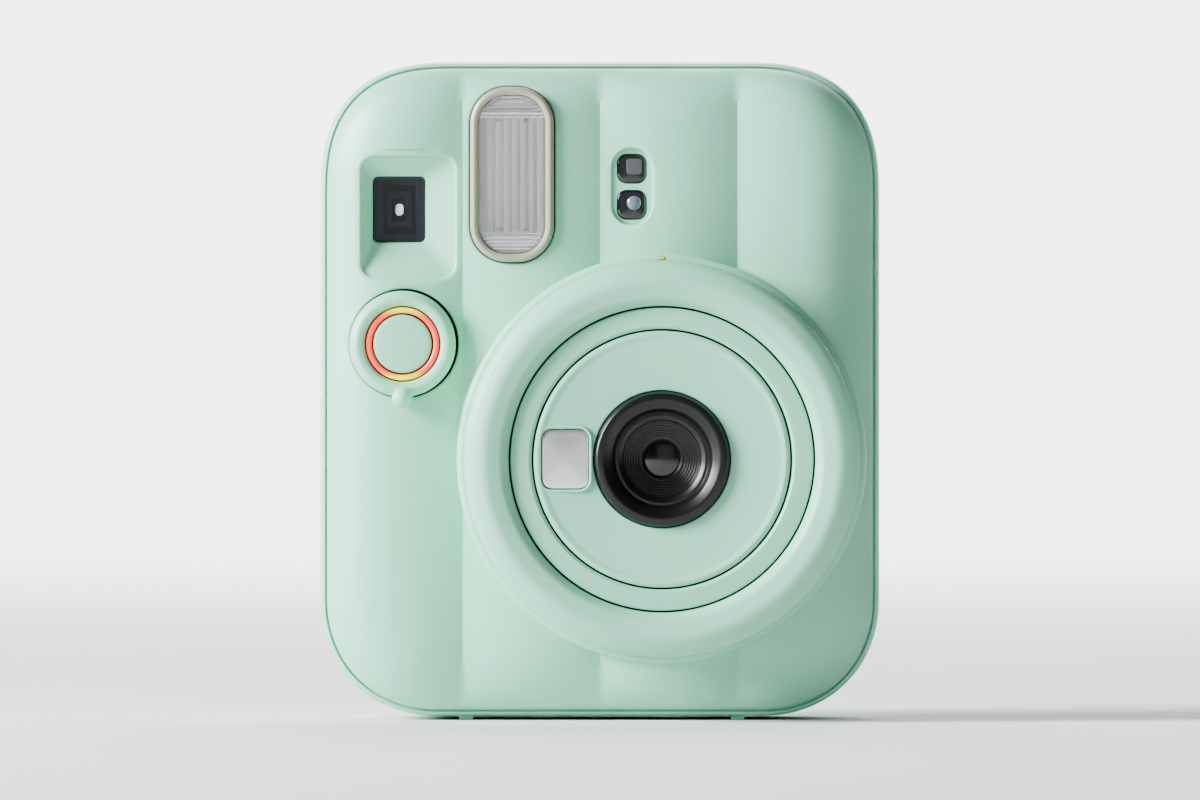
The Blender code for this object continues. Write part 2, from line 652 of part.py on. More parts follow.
# ---- flash, viewfinder, sensors and release --------------------------------
def build_flash():
    outer = rounded_rectangle(FLASH_X, FLASH_Z, *FLASH_SIZE, mm(6.8), 6)
    window = rounded_rectangle(FLASH_X, FLASH_Z, FLASH_WINDOW[0] + 2 * GAP, FLASH_WINDOW[1] + 2 * GAP, mm(5.4), 6)
    add_plate("flash_bezel", "greige_abs", [outer, window], mm(-14.0), mm(-9.6))
    pane = rounded_rectangle(FLASH_X, FLASH_Z, *FLASH_WINDOW, mm(5.2), 6)
    add_plate("flash_window", "clear_plastic", [pane], mm(-13.7), mm(-11.9))
    build_reflector()
    height = mm(12.0)
    add_rod("flash_tube", "optical_glass", mm(1.3), (FLASH_X, mm(-6.4), FLASH_Z - height),
            (FLASH_X, mm(-6.4), FLASH_Z + height), 16)


def build_reflector():
    """A trough of bent sheet behind the flash window, open to the front."""
    width, depth, wall = 5.2, 7.6, 0.5
    steps = 10
    outside = [(width * math.cos(math.pi * k / steps), -11.2 + depth * math.sin(math.pi * k / steps))
               for k in range(steps + 1)]
    inside = [((width - wall) * math.cos(math.pi * k / steps), -11.2 + (depth - wall) * math.sin(math.pi * k / steps))
              for k in range(steps + 1)]
    loop = [mm(*point) for point in outside + inside[::-1]]
    mesh = outline_mesh([loop], mm(-10.8), mm(10.8))
    mesh.transform(Matrix.Rotation(-math.pi / 2, 4, "X"))
    add_part("flash_reflector", mesh, "bright_aluminium", (FLASH_X, 0, FLASH_Z))


def build_viewfinder():
    frame = rounded_rectangle(FINDER_X, FINDER_Z, *FINDER_WINDOW, mm(0.6), 2)
    add_plate("viewfinder_window", "smoked_plastic", [frame], mm(-8.4), mm(-7.0))
    tunnel = rounded_rectangle(FINDER_X, FINDER_Z, mm(11.4), mm(13.6), mm(1.0), 2)
    bore = rounded_rectangle(FINDER_X, FINDER_Z, mm(8.6), mm(10.8), mm(0.8), 2)
    add_plate("viewfinder_tunnel", "black_abs", [tunnel, bore], mm(-3.4), mm(29.6))
    add_turned("eyepiece_lens", "optical_glass", [(0, 30.2), (3.4, 30.0), (4.6, 30.0), (4.6, 32.4), (3.0, 32.9), (0, 33.1)],
               FINDER_X, FINDER_Z, 24)
    outline = rounded_rectangle(0, 0, mm(11.0), mm(13.0), mm(0.8), 2)
    gate = rounded_rectangle(0, 0, mm(6.1), mm(8.2), mm(0.5), 2)
    add_part("parallax_mask", outline_mesh([outline, gate], mm(-5.4), mm(-4.6)), "dark_abs",
             (FINDER_X, 0, FINDER_Z))


def build_sensors():
    for name, height in (("upper", SENSOR_HIGH), ("lower", SENSOR_LOW)):
        window = rounded_rectangle(SENSOR_X, height, SENSOR_WINDOW, SENSOR_WINDOW, mm(1.7), 4)
        add_plate("sensor_window_" + name, "smoked_plastic", [window], mm(-11.3), mm(-9.9))
    board = add_block("sensor_board", "circuit_board", (SENSOR_X - mm(4), mm(-7.0), SENSOR_LOW - mm(4.6)),
                      (SENSOR_X + mm(4), mm(-6.0), SENSOR_HIGH + mm(4.6)))
    for name, height in (("photo_cell", SENSOR_HIGH), ("receiver", SENSOR_LOW)):
        cell = rod_mesh(mm(1.7), (SENSOR_X, mm(-9.2), height), (SENSOR_X, mm(-6.5), height), 16)
        boolean(board, add_cutter(name, cell), "UNION")


def build_release():
    """Release button in its lamp ring, with the self-timer lever turning round both."""
    cap = [(0, -14.3), (3.6, -14.45), (4.8, -14.6), (5.25, -14.4), (5.4, -13.9), (5.4, -12.2), (2.0, -12.2),
           (2.0, -9.4), (0, -9.4)]
    add_turned("shutter_button", "mint_abs", cap, BUTTON_X, BUTTON_Z, 28)
    lamp = [(5.75, -14.2), (6.0, -14.45), (6.5, -14.45), (6.75, -14.2), (6.75, -7.1), (5.75, -7.1)]
    add_turned("lamp_ring", "lamp_plastic", lamp, BUTTON_X, BUTTON_Z, 28)
    ring = [(7.05, -13.9), (7.3, -14.6), (8.0, -15.1), (8.8, -15.0), (9.5, -14.4), (9.85, -13.6), (9.85, -8.4),
            (7.05, -8.4)]
    lever = add_turned("timer_lever", "mint_abs", ring, BUTTON_X, BUTTON_Z, 28)
    knob = ball_mesh(mm(2.0), (0, mm(-15.8), mm(-9.9)))
    boolean(lever, add_cutter("lever_knob", knob, lever.location), "UNION")
    board = add_part("button_board", outline_mesh([circle(0, 0, mm(9.0), 32)], mm(-6.7), mm(-5.7)),
                     "circuit_board", (BUTTON_X, 0, BUTTON_Z))
    switch = rod_mesh(mm(1.6), (0, mm(-7.6), 0), (0, mm(-6.2), 0), 12)
    boolean(board, add_cutter("release_switch", switch, board.location), "UNION")


# ---- film chamber and drive -------------------------------------------------
def build_light_cone():
    """Four-sided tunnel from the lens base to the film gate, open at both ends."""
    mesh = bpy.data.meshes.new("light_cone")
    shape = bmesh.new()
    front = [(side * mm(12.6), up * mm(15.6)) for side, up in ((-1, -1), (1, -1), (1, 1), (-1, 1))]
    back = [(side * mm(23.8), up * mm(31.8)) for side, up in ((-1, -1), (1, -1), (1, 1), (-1, 1))]
    rings = [[shape.verts.new((x, mm(-6.0), z)) for x, z in front],
             [shape.verts.new((x, mm(11.0), z)) for x, z in back]]
    bridge_rings(shape, rings)
    bmesh.ops.recalc_face_normals(shape, faces=shape.faces)
    shape.to_mesh(mesh)
    shape.free()
    cone = add_part("light_cone", mesh, "dark_abs", (LENS_X, 0, LENS_Z))
    thicken(cone, mm(1.0))


def build_film_chamber():
    """Box behind the film gate that the film pack drops into, with ears that carry the rollers."""
    left, right = CHAMBER_X[0] - CHAMBER_WALL, CHAMBER_X[1] + CHAMBER_WALL
    low, high = CHAMBER_Z[0] - CHAMBER_WALL, CHAMBER_Z[1] + CHAMBER_WALL
    width, height = right - left, high - low
    middle_x, middle_z = (left + right) / 2, (low + high) / 2
    outer = rounded_rectangle(middle_x, middle_z, width, height, mm(3.2), 3)
    chamber = add_part("film_chamber", outline_mesh([outer], mm(12.2), mm(29.2)), "dark_abs")
    room = rounded_rectangle(middle_x, middle_z, width - 2 * CHAMBER_WALL, height - 2 * CHAMBER_WALL, mm(2.0), 3)
    drill_y(chamber, "pack_room", room, FILM_Y, mm(34))
    drill_y(chamber, "film_gate", rounded_rectangle(LENS_X, LENS_Z, *GATE, mm(0.6), 1), mm(5), mm(20))
    for name, x in (("left", left + mm(0.8)), ("right", right - mm(0.8))):
        ear = box_mesh((x - mm(0.8), RUBBER_ROLLER_Y - mm(3.2), high - mm(1.0)),
                       (x + mm(0.8), METAL_ROLLER_Y + mm(3.2), ROLLER_Z + mm(3.4)))
        boolean(chamber, add_cutter("roller_ear_" + name, ear), "UNION")
    for name, y in (("rubber", RUBBER_ROLLER_Y), ("metal", METAL_ROLLER_Y)):
        bearing = rod_mesh(mm(1.6), (left - mm(3), y, ROLLER_Z), (right + mm(3), y, ROLLER_Z), 16)
        boolean(chamber, add_cutter("bearing_" + name, bearing))
    claw_slot = box_mesh((left - mm(1), mm(15), CHAMBER_Z[0] + mm(4)), (left + mm(2), mm(19), CHAMBER_Z[0] + mm(16)))
    boolean(chamber, add_cutter("claw_slot", claw_slot))


def gear_outline(teeth):
    """Toothed outline about the origin; the tips are cut short so meshed wheels never touch."""
    pitch = GEAR_MODULE * teeth / 2
    tip, root = pitch - mm(0.15), pitch - mm(0.62)
    points = []
    for tooth in range(teeth):
        for share, radius in ((0.1, root), (0.4, tip), (0.7, tip)):
            turn = math.tau * (tooth + share) / teeth
            points.append((radius * math.cos(turn), radius * math.sin(turn)))
    return points


def sideways(mesh):
    """Turn a mesh made along Y so that it lies along X."""
    mesh.transform(Matrix.Rotation(-math.pi / 2, 4, "Z"))
    return mesh


def shaft_profile(steps):
    """Turned profile from (distance along the shaft, radius) pairs in millimetres."""
    return [(0, steps[0][0])] + [(radius, along) for along, radius in steps] + [(0, steps[-1][0])]


def build_rollers():
    """Two rollers that squeeze the film on its way out, each with a gear on the right."""
    left, right = ROLLER_X
    for name, material, y in (("rubber_roller", "rubber", RUBBER_ROLLER_Y), ("metal_roller", "steel", METAL_ROLLER_Y)):
        radius = ROLLER_RADIUS / MM
        ends = [(left / MM - 3.4, 1.25), (left / MM, 1.25), (left / MM, radius), (right / MM, radius),
                (right / MM, 1.25), (right / MM + 5.2, 1.25)]
        body = turned_mesh([mm(*point) for point in shaft_profile(ends)], 16)
        roller = add_part(name, sideways(body), material, (0, y, ROLLER_Z))
        gear = sideways(outline_mesh([gear_outline(ROLLER_TEETH)], mm(43.6), mm(45.2)))
        boolean(roller, add_cutter(name + "_gear", gear, roller.location), "UNION")


def build_gears():
    """The motor's pinion drives a double wheel, which drives the rubber roller."""
    large, small = IDLER_TEETH
    idler = add_part("idler_gear", sideways(outline_mesh([gear_outline(large)], mm(46.0), mm(47.2))),
                     "white_nylon", (0, IDLER_Y, IDLER_Z))
    for name, tool in (("idler_small", outline_mesh([gear_outline(small)], mm(43.6), mm(46.2))),
                       ("idler_shaft", rod_mesh(mm(0.9), (0, mm(43.2), 0), (0, mm(48.4), 0), 12))):
        boolean(idler, add_cutter(name, sideways(tool), idler.location), "UNION")
    pinion = add_part("motor_pinion", sideways(outline_mesh([gear_outline(PINION_TEETH)], mm(45.4), mm(47.4))),
                      "white_nylon", (0, MOTOR_Y, MOTOR_Z))
    bore = rod_mesh(mm(1.0), (0, mm(40), 0), (0, mm(50), 0), 12)
    boolean(pinion, add_cutter("pinion_bore", sideways(bore), pinion.location))
    can = [(24.0, 5.8), (42.6, 5.8), (42.6, 2.0), (43.6, 2.0), (43.6, 0.65), (47.2, 0.65)]
    body = turned_mesh([mm(*point) for point in shaft_profile(can)], 20)
    add_part("winding_motor", sideways(body), "steel", (0, MOTOR_Y, MOTOR_Z))


def build_film_moving_parts():
    """The claw that pushes one film up out of the pack, and the flap inside the film slot."""
    left = CHAMBER_X[0]
    claw = add_block("pick_claw", "steel", (left - mm(3.2), mm(15.8), CHAMBER_Z[0] + mm(2)),
                     (left - mm(1.6), mm(18.2), CHAMBER_Z[0] + mm(22)))
    hook = box_mesh((left - mm(2.0), mm(16.2), CHAMBER_Z[0] + mm(4.6)), (left + mm(0.8), mm(17.8), CHAMBER_Z[0] + mm(6.4)))
    boolean(claw, add_cutter("claw_hook", hook), "UNION")
    hinge = Vector((LENS_X, SLOT_Y[1] + mm(0.5), mm(117.4)))
    half = (SLOT_X[1] - SLOT_X[0]) / 2 - mm(0.8)
    flap = add_part("exit_flap", box_mesh((-half, mm(-4.9), mm(-0.3)), (half, 0, mm(0.3))), "dark_abs", hinge)
    barrel = rod_mesh(mm(0.55), (-half, 0, 0), (half, 0, 0), 10)
    boolean(flap, add_cutter("flap_barrel", barrel, hinge), "UNION")


# ---- power and electronics ------------------------------------------------
def build_battery_bay():
    low, high = mm(8.2), mm(65.2)
    holder = add_block("battery_holder", "dark_abs", (mm(-42.4), mm(-5.0), low), (mm(-28.2), mm(26.9), high))
    room = box_mesh((mm(-60), mm(-4.3), low + mm(1.2)), (mm(-29.4), mm(26.2), high - mm(1.2)))
    boolean(holder, add_cutter("battery_room", room))
    for name, y in zip(("front", "rear"), CELL_Y):
        bottom, top = CELL_Z
        radius = CELL_RADIUS / MM
        ends = [(bottom / MM, radius - 0.4), (bottom / MM + 0.4, radius), (top / MM - 1.8, radius),
                (top / MM - 1.4, radius - 0.5), (top / MM - 1.4, 2.6), (top / MM, 2.6)]
        if name == "rear":
            middle = (bottom + top) / 2 / MM
            ends = [(2 * middle - along, size) for along, size in reversed(ends)]
        body = turned_mesh([mm(*point) for point in shaft_profile(ends)], 20)
        body.transform(Matrix.Rotation(math.pi / 2, 4, "X"))
        add_part("battery_" + name, body, "cell_label", (CELL_X, y, 0))
    add_block("contact_plate_top", "steel", (mm(-42.0), mm(-3.6), high - mm(1.9)), (mm(-30.4), mm(25.6), high - mm(1.5)))
    lower = add_block("contact_plate_bottom", "steel", (mm(-41.6), mm(-3.6), low + mm(1.5)),
                      (mm(-30.4), mm(25.6), low + mm(1.9)))
    for number, y in enumerate(CELL_Y):
        dome = rod_mesh(mm(4.2), (CELL_X + mm(0.4), y, low + mm(1.7)), (CELL_X + mm(0.4), y, low + mm(3.5)), 16, mm(2.0))
        boolean(lower, add_cutter("contact_dome_" + str(number), dome), "UNION")


def corner_path(inset, steps=9):
    """Outline points of the lower left corner, from the side seam round to the bottom seam."""
    span, power = BOTTOM_CORNER
    points = [(-BODY_HALF_WIDTH + inset, BATTERY_DOOR_TOP)]
    end = BATTERY_DOOR_END + BODY_HALF_WIDTH - inset
    for step in range(steps + 1):
        share = 1 - math.cos(math.radians(90 * step / steps)) ** 0.85
        x = -BODY_HALF_WIDTH + inset + end * share
        points.append((x, body_span(x, inset)[0]))
    return points


def build_battery_door():
    """The corner of the casing from side seam to bottom seam; it turns on stubs along its lower edge."""
    loop = corner_path(0.0) + corner_path(WALL)[::-1]
    axis_x, axis_z = BATTERY_AXIS
    place = (axis_x, 0, axis_z)
    mesh = outline_mesh([loop], *BATTERY_DOOR_Y)
    mesh.transform(Matrix.Translation((-axis_x, 0, -axis_z)))
    door = add_part("battery_door", mesh, "mint_abs", place)
    front, back = BATTERY_DOOR_Y
    barrel = rod_mesh(mm(0.95), (0, front + mm(0.1), 0), (0, back - mm(0.1), 0), 14)
    boolean(door, add_cutter("door_barrel", barrel, place), "UNION")
    stubs = rod_mesh(mm(0.5), (0, front - mm(0.6), 0), (0, back + mm(0.6), 0), 10)
    boolean(door, add_cutter("door_stubs", stubs, place), "UNION")


def build_electronics():
    add_block("main_board", "circuit_board", (mm(-25.0), mm(4.0), mm(87.0)), (mm(21.0), mm(5.2), mm(116.0)))
    add_block("control_chip", "black_abs", (mm(2.0), mm(2.0), mm(100.0)), (mm(12.0), mm(3.7), mm(110.0)), mm(0.2))
    add_rod("flash_capacitor", "capacitor_sleeve", mm(6.5), mm(-47.0, 20.0, 75.0), mm(-22.0, 20.0, 75.0), 28)
    add_block("trigger_coil", "dark_abs", mm(-5.0, -5.5, 106.0), mm(1.0, 3.6, 113.0), mm(0.5))
    dial = [(0.8, 28.0), (5.5, 28.0), (5.5, 29.2), (0.8, 29.2)]
    add_turned("counter_dial", "white_nylon", dial, COUNTER_X, COUNTER_Z, 32)


# ---- film door ----------------------------------------------------------------
def door_outline(gap, side_gap, corner_steps=6):
    """The body's outline drawn in and cut off at the left, grown by gap, and by side_gap at the right."""
    inset = DOOR_INSET - gap
    left = DOOR_LEFT - gap
    right = BODY_HALF_WIDTH - inset
    reach = TOP_CORNER[0] - inset
    stretch = (right + side_gap - gap - left) / (right - left)
    columns = [left] + [right - reach * (1 - math.cos(math.radians(90 * k / corner_steps)) ** 0.85)
                for k in range(corner_steps, -1, -1)]
    places = [left + (x - left) * stretch for x in columns]
    flat = right - (BOTTOM_CORNER[0] - inset)
    low = [(place, body_span(x, inset)[0]) for place, x in zip(places, columns) if x == left or x > flat]
    high = [(place, body_span(x, inset)[1]) for place, x in zip(places, columns)]
    return low + high[::-1]


def build_film_door():
    """The back panel, turning about an upright axis at its right edge, with its latch and window."""
    axis_x, axis_y = DOOR_AXIS
    place = (axis_x, axis_y, 0)
    outline = [(x - axis_x, z) for x, z in door_outline(0.0, 0.0)]
    door = add_part("film_door", outline_mesh([outline], mm(31.3) - axis_y, REAR_Y - axis_y), "mint_abs", place)
    for name, height in (("low", mm(28)), ("high", mm(84))):
        knuckle = box_mesh((mm(-2.2), mm(-2.4), height), (mm(-0.6), mm(-1.2), height + mm(8)))
        boolean(door, add_cutter("door_knuckle_" + name, knuckle, place), "UNION")
    window = rounded_rectangle(LENS_X - axis_x, mm(47), mm(9.6), mm(18.6), mm(1.6), 3)
    drill_y(door, "pack_window_hole", window, mm(-4), mm(4))
    bpy.data.objects["pack_window_hole"].location = place
    latch_hole = rounded_rectangle(mm(-17.4) - axis_x, mm(66), mm(6.6), mm(16.6), mm(1.2), 2)
    drill_y(door, "latch_hole", latch_hole, mm(-4), mm(4))
    bpy.data.objects["latch_hole"].location = place
    pane = rounded_rectangle(LENS_X, mm(47), mm(9.0), mm(18.0), mm(1.4), 3)
    add_plate("pack_window", "smoked_plastic", [pane], mm(31.5), mm(32.9))
    knob = rounded_rectangle(0, 0, mm(6.0), mm(11.0), mm(1.0), 2)
    back = rounded_rectangle(0, 0, mm(8.4), mm(13.4), mm(1.0), 2)
    latch = add_part("door_latch", outline_mesh([knob], mm(30.4), mm(33.0)), "mint_abs", mm(-17.4, 0, 63.5))
    boolean(latch, add_cutter("latch_plate", outline_mesh([back], mm(29.8), mm(31.0)), latch.location), "UNION")
    add_block("pack_spring", "steel", mm(-8.0, 29.6, 30.0), mm(31.0, 30.9, 38.0), mm(0.4))


def main():
    clear_scene()
    build_front_cover()
    build_rear_cover()
    build_small_trim()
    build_lens_ring()
    build_inner_barrel()
    build_flash()
    build_viewfinder()
    build_sensors()
    build_release()
    build_light_cone()
    build_film_chamber()
    build_rollers()
    build_gears()
    build_film_moving_parts()
    build_battery_bay()
    build_battery_door()
    build_electronics()
    build_film_door()


main()
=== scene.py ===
"""The finished look of an instant camera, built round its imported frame.

X runs right as seen from the front, the front looks along -Y, Z is up, and everything is in metres.
Sizes in the classes are in millimetres and are turned to metres where a mesh is made.
"""
import logging
import math
from dataclasses import dataclass
from enum import Enum
from typing import Any, Callable, Sequence

import bmesh
import bpy
import numpy as np
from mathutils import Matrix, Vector


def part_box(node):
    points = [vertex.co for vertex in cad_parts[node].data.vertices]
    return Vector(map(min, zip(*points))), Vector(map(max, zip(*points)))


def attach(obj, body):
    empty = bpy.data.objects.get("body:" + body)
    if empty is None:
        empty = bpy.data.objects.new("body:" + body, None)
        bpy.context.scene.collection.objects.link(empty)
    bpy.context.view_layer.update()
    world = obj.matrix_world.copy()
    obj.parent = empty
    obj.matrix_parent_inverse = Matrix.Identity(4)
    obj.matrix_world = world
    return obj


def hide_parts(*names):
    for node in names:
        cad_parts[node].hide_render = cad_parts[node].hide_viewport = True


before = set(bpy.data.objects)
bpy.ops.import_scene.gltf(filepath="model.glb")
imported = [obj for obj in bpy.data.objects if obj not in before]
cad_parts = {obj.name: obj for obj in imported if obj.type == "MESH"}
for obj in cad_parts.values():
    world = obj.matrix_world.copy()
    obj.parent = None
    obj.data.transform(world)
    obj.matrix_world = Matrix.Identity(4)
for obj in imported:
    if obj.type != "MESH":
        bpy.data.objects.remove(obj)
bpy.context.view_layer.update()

MM = 0.001
logging.basicConfig(level=logging.INFO, format="%(message)s")
log = logging.getLogger("instant_camera")

Point = tuple[float, float]
Corner = tuple[float, float, float]
Outline = Callable[[float], np.ndarray]

# Places that several pieces share, as X and Z in millimetres.
LENS_AXIS: Point = (11.4, 48.6)
FLASH_CENTRE: Point = (-16.3, 101.3)
FINDER_CENTRE: Point = (-37.3, 94.9)
RELEASE_CENTRE: Point = (-36.6, 69.9)
SENSOR_X = 5.9
SENSOR_HEIGHTS: Point = (102.4, 95.7)
FOOT_X: Point = (-24.9, 25.6)
SCREWS: tuple[Point, Point] = ((-46.2, 84.6), (-41.0, 110.0))


# ---- finishes -------------------------------------------------------------
def linear_colour(code: str) -> tuple[float, float, float, float]:
    """Turn an sRGB hex colour into linear light.

    Args:
        code: Colour as "#RRGGBB".

    Returns:
        Linear red, green and blue, and an alpha of 1.
    """
    channels = [int(code[start:start + 2], 16) / 255 for start in (1, 3, 5)]
    light = [c / 12.92 if c <= 0.04045 else ((c + 0.055) / 1.055) ** 2.4 for c in channels]
    return light[0], light[1], light[2], 1.0


def per_metre(feature_mm: float) -> float:
    """Texture scale, in features to the metre, for a feature of that size in millimetres."""
    return 1.0 / (feature_mm * MM)


def add_node(tree: Any, kind: str, settings: dict | None = None, links: dict | None = None) -> Any:
    """Add one shader node.

    Args:
        tree: Node tree that takes it.
        kind: Blender's name of the node's type.
        settings: Socket names or indices, or attributes of the node, with their values.
        links: Input sockets with the output socket that feeds each.

    Returns:
        The new node.
    """
    node = tree.nodes.new(kind)
    for key, value in (settings or {}).items():
        if isinstance(key, str) and hasattr(node, key):
            setattr(node, key, value)
        else:
            node.inputs[key].default_value = value
    for key, output in (links or {}).items():
        tree.links.new(output, node.inputs[key])
    return node


def noise(tree: Any, place: Any, size_mm: float, detail: float) -> Any:
    """Noise of a known size.

    Args:
        tree: Node tree of the material.
        place: Output socket with the object's coordinates.
        size_mm: Size of one feature.
        detail: Octaves of finer noise on it.

    Returns:
        The output socket, from 0 to 1.
    """
    node = add_node(tree, "ShaderNodeTexNoise", {"Scale": per_metre(size_mm), "Detail": detail}, {"Vector": place})
    return node.outputs["Fac"]


def ramp(tree: Any, value: Any, stops: Sequence[tuple[float, str]], constant: bool = False) -> Any:
    """Turn a value into a colour.

    Args:
        tree: Node tree of the material.
        value: Output socket that picks the colour.
        stops: Places along the value with hex colours.
        constant: Whether the colours change in steps.

    Returns:
        The output socket with the colour.
    """
    node = add_node(tree, "ShaderNodeValToRGB", None, {"Fac": value})
    node.color_ramp.interpolation = "CONSTANT" if constant else "LINEAR"
    elements = node.color_ramp.elements
    while len(elements) < len(stops):
        elements.new(0.5)
    for element, (place, code) in zip(elements, stops):
        element.position = place
        element.color = linear_colour(code)
    return node.outputs["Color"]


def spread(tree: Any, value: Any, limits: tuple[float, float]) -> Any:
    """Stretch a value from 0 to 1 between two limits.

    Args:
        tree: Node tree of the material.
        value: Output socket to stretch.
        limits: Lowest and highest result.

    Returns:
        The output socket with the result.
    """
    node = add_node(tree, "ShaderNodeMapRange", {"To Min": limits[0], "To Max": limits[1]}, {"Value": value})
    return node.outputs["Result"]


def relief(tree: Any, height: Any, rise_mm: float, strength: float = 1.0) -> Any:
    """Turn a height into bump.

    Args:
        tree: Node tree of the material.
        height: Output socket with the height, from 0 to 1.
        rise_mm: Height that 1 stands for.
        strength: Share of the bump that is used.

    Returns:
        The output socket with the normal.
    """
    node = add_node(tree, "ShaderNodeBump", {"Strength": strength, "Distance": rise_mm * MM}, {"Height": height})
    return node.outputs["Normal"]


def dress(tree: Any, shader: Any, sockets: dict[str, Any]) -> None:
    """Set the shader's sockets.

    Args:
        tree: Node tree of the material.
        shader: Its Principled shader.
        sockets: Socket names, each with a value or with the output socket that feeds it.
    """
    for name, value in sockets.items():
        if isinstance(value, bpy.types.NodeSocket):
            tree.links.new(value, shader.inputs[name])
        else:
            shader.inputs[name].default_value = value


class Finish:
    """A material that is made the first time it is asked for."""

    made: dict[str, Any] = {}
    name: str

    def paint(self, tree: Any, shader: Any, place: Any) -> None:
        """Set the shader's sockets and build the pattern on it.

        Args:
            tree: Node tree of the material.
            shader: Its Principled shader.
            place: Output socket with the object's coordinates.
        """
        raise NotImplementedError

    def material(self) -> Any:
        """The Blender material of this finish."""
        if self.name not in Finish.made:
            material = bpy.data.materials.new(self.name)
            material.use_nodes = True
            tree = material.node_tree
            self.paint(tree, tree.nodes["Principled BSDF"], add_node(tree, "ShaderNodeTexCoord").outputs["Object"])
            Finish.made[self.name] = material
        return Finish.made[self.name]


@dataclass(frozen=True)
class MouldedPlastic(Finish):
    """ABS from a steel mould: one colour with a faint drift in it, satin, with fine spark-eroded grain."""

    name: str
    colour: str
    drift: str
    roughness: tuple[float, float] = (0.38, 0.46)
    grain_mm: float = 0.35
    height_mm: float = 0.004
    ior: float = 1.52
    coat: float = 0.0
    drift_mm: float = 14.0

    def paint(self, tree: Any, shader: Any, place: Any) -> None:
        """The drift in the colour is under 2%, which keeps a large plain wall from looking painted flat."""
        slow = noise(tree, place, self.drift_mm, 3.0)
        dress(tree, shader, {"Base Color": ramp(tree, slow, ((0.3, self.colour), (0.7, self.drift))),
                             "Roughness": spread(tree, slow, self.roughness),
                             "Normal": relief(tree, noise(tree, place, self.grain_mm, 2.0), self.height_mm),
                             "IOR": self.ior, "Coat Weight": self.coat, "Coat Roughness": 0.08})


@dataclass(frozen=True)
class ClearPlastic(Finish):
    """Polished acrylic or polycarbonate: clear or smoked, with the faint orange peel of a moulding."""

    name: str
    colour: str
    transmission: float = 1.0
    roughness: float = 0.03
    ior: float = 1.49

    def paint(self, tree: Any, shader: Any, place: Any) -> None:
        """Light passes through; the slow waviness bends what is seen behind it a little."""
        dress(tree, shader, {"Base Color": linear_colour(self.colour), "Transmission Weight": self.transmission,
                             "Normal": relief(tree, noise(tree, place, 3.0, 1.0), 0.01, 0.4),
                             "Roughness": self.roughness, "IOR": self.ior})


@dataclass(frozen=True)
class CoatedGlass(Finish):
    """Camera lens with an anti-reflection coat: dark in the middle, with a painted violet or green reflection towards
    the rim.
    """

    name: str
    colour: str
    sheen: str
    transmission: float = 0.25
    roughness: tuple[float, float] = (0.05, 0.1)

    def paint(self, tree: Any, shader: Any, place: Any) -> None:
        """Painted reflection: the base colour turns to the coat's reflected tint where the surface turns away from
        view, as an interference film's reflection does.
        """
        # painted reflection: the second colour is the coat's reflected tint, not the glass's own colour
        facing = add_node(tree, "ShaderNodeLayerWeight", {"Blend": 0.35}).outputs["Facing"]
        dress(tree, shader, {"Base Color": ramp(tree, facing, ((0.2, self.colour), (0.95, self.sheen))),
                             "Roughness": spread(tree, noise(tree, place, 1.2, 4.0), self.roughness),
                             "Transmission Weight": self.transmission, "Coat Weight": 0.3, "Coat Roughness": 0.1})


@dataclass(frozen=True)
class Metal(Finish):
    """Sheet, rod or plated metal, with streaks along one axis from rolling or brushing."""

    name: str
    colour: str
    shade: str
    roughness: tuple[float, float]
    streak_mm: tuple[float, float, float] = (0.12, 0.12, 4.0)
    height_mm: float = 0.002

    def paint(self, tree: Any, shader: Any, place: Any) -> None:
        """Streaks are noise drawn out along the rolling direction."""
        scale = [per_metre(size) for size in self.streak_mm]
        drawn = add_node(tree, "ShaderNodeMapping", {"Scale": scale}, {"Vector": place}).outputs["Vector"]
        streak = add_node(tree, "ShaderNodeTexNoise", {"Scale": 1.0, "Detail": 3.0}, {"Vector": drawn}).outputs["Fac"]
        dress(tree, shader, {"Base Color": ramp(tree, streak, ((0.3, self.shade), (0.7, self.colour))),
                             "Roughness": spread(tree, streak, self.roughness),
                             "Normal": relief(tree, streak, self.height_mm, 0.6), "Metallic": 1.0})


@dataclass(frozen=True)
class LampGuide(Finish):
    """Milky polycarbonate light guide, lit amber from two sides and coral between them."""

    name: str
    centre: Point
    strength: float = 0.9
    amber_mm: tuple[float, float] = (4.6, 6.4)

    def paint(self, tree: Any, shader: Any, place: Any) -> None:
        """The lamps sit at twelve and six o'clock, so the colour follows the height share round the ring."""
        height = add_node(tree, "ShaderNodeSeparateXYZ", None, {"Vector": place}).outputs["Z"]
        up = add_node(tree, "ShaderNodeMath", {"operation": "SUBTRACT", 1: self.centre[1] * MM}, {0: height})
        away = add_node(tree, "ShaderNodeMath", {"operation": "ABSOLUTE"}, {0: up.outputs["Value"]})
        share = add_node(tree, "ShaderNodeMapRange",
                         {"From Min": self.amber_mm[0] * MM, "From Max": self.amber_mm[1] * MM},
                         {"Value": away.outputs["Value"]})
        mix = add_node(tree, "ShaderNodeMath", {"operation": "MULTIPLY_ADD", 1: 0.25},
                       {0: noise(tree, place, 1.6, 1.0), 2: share.outputs["Result"]})
        colour = ramp(tree, mix.outputs["Value"],
                      ((0.12, "#FF3D22"), (0.5, "#FF5A1E"), (0.85, "#FFB400"), (1.0, "#FFDC00")))
        dress(tree, shader, {"Base Color": colour, "Emission Color": colour, "Emission Strength": self.strength,
                             "Roughness": 0.35, "IOR": 1.58})


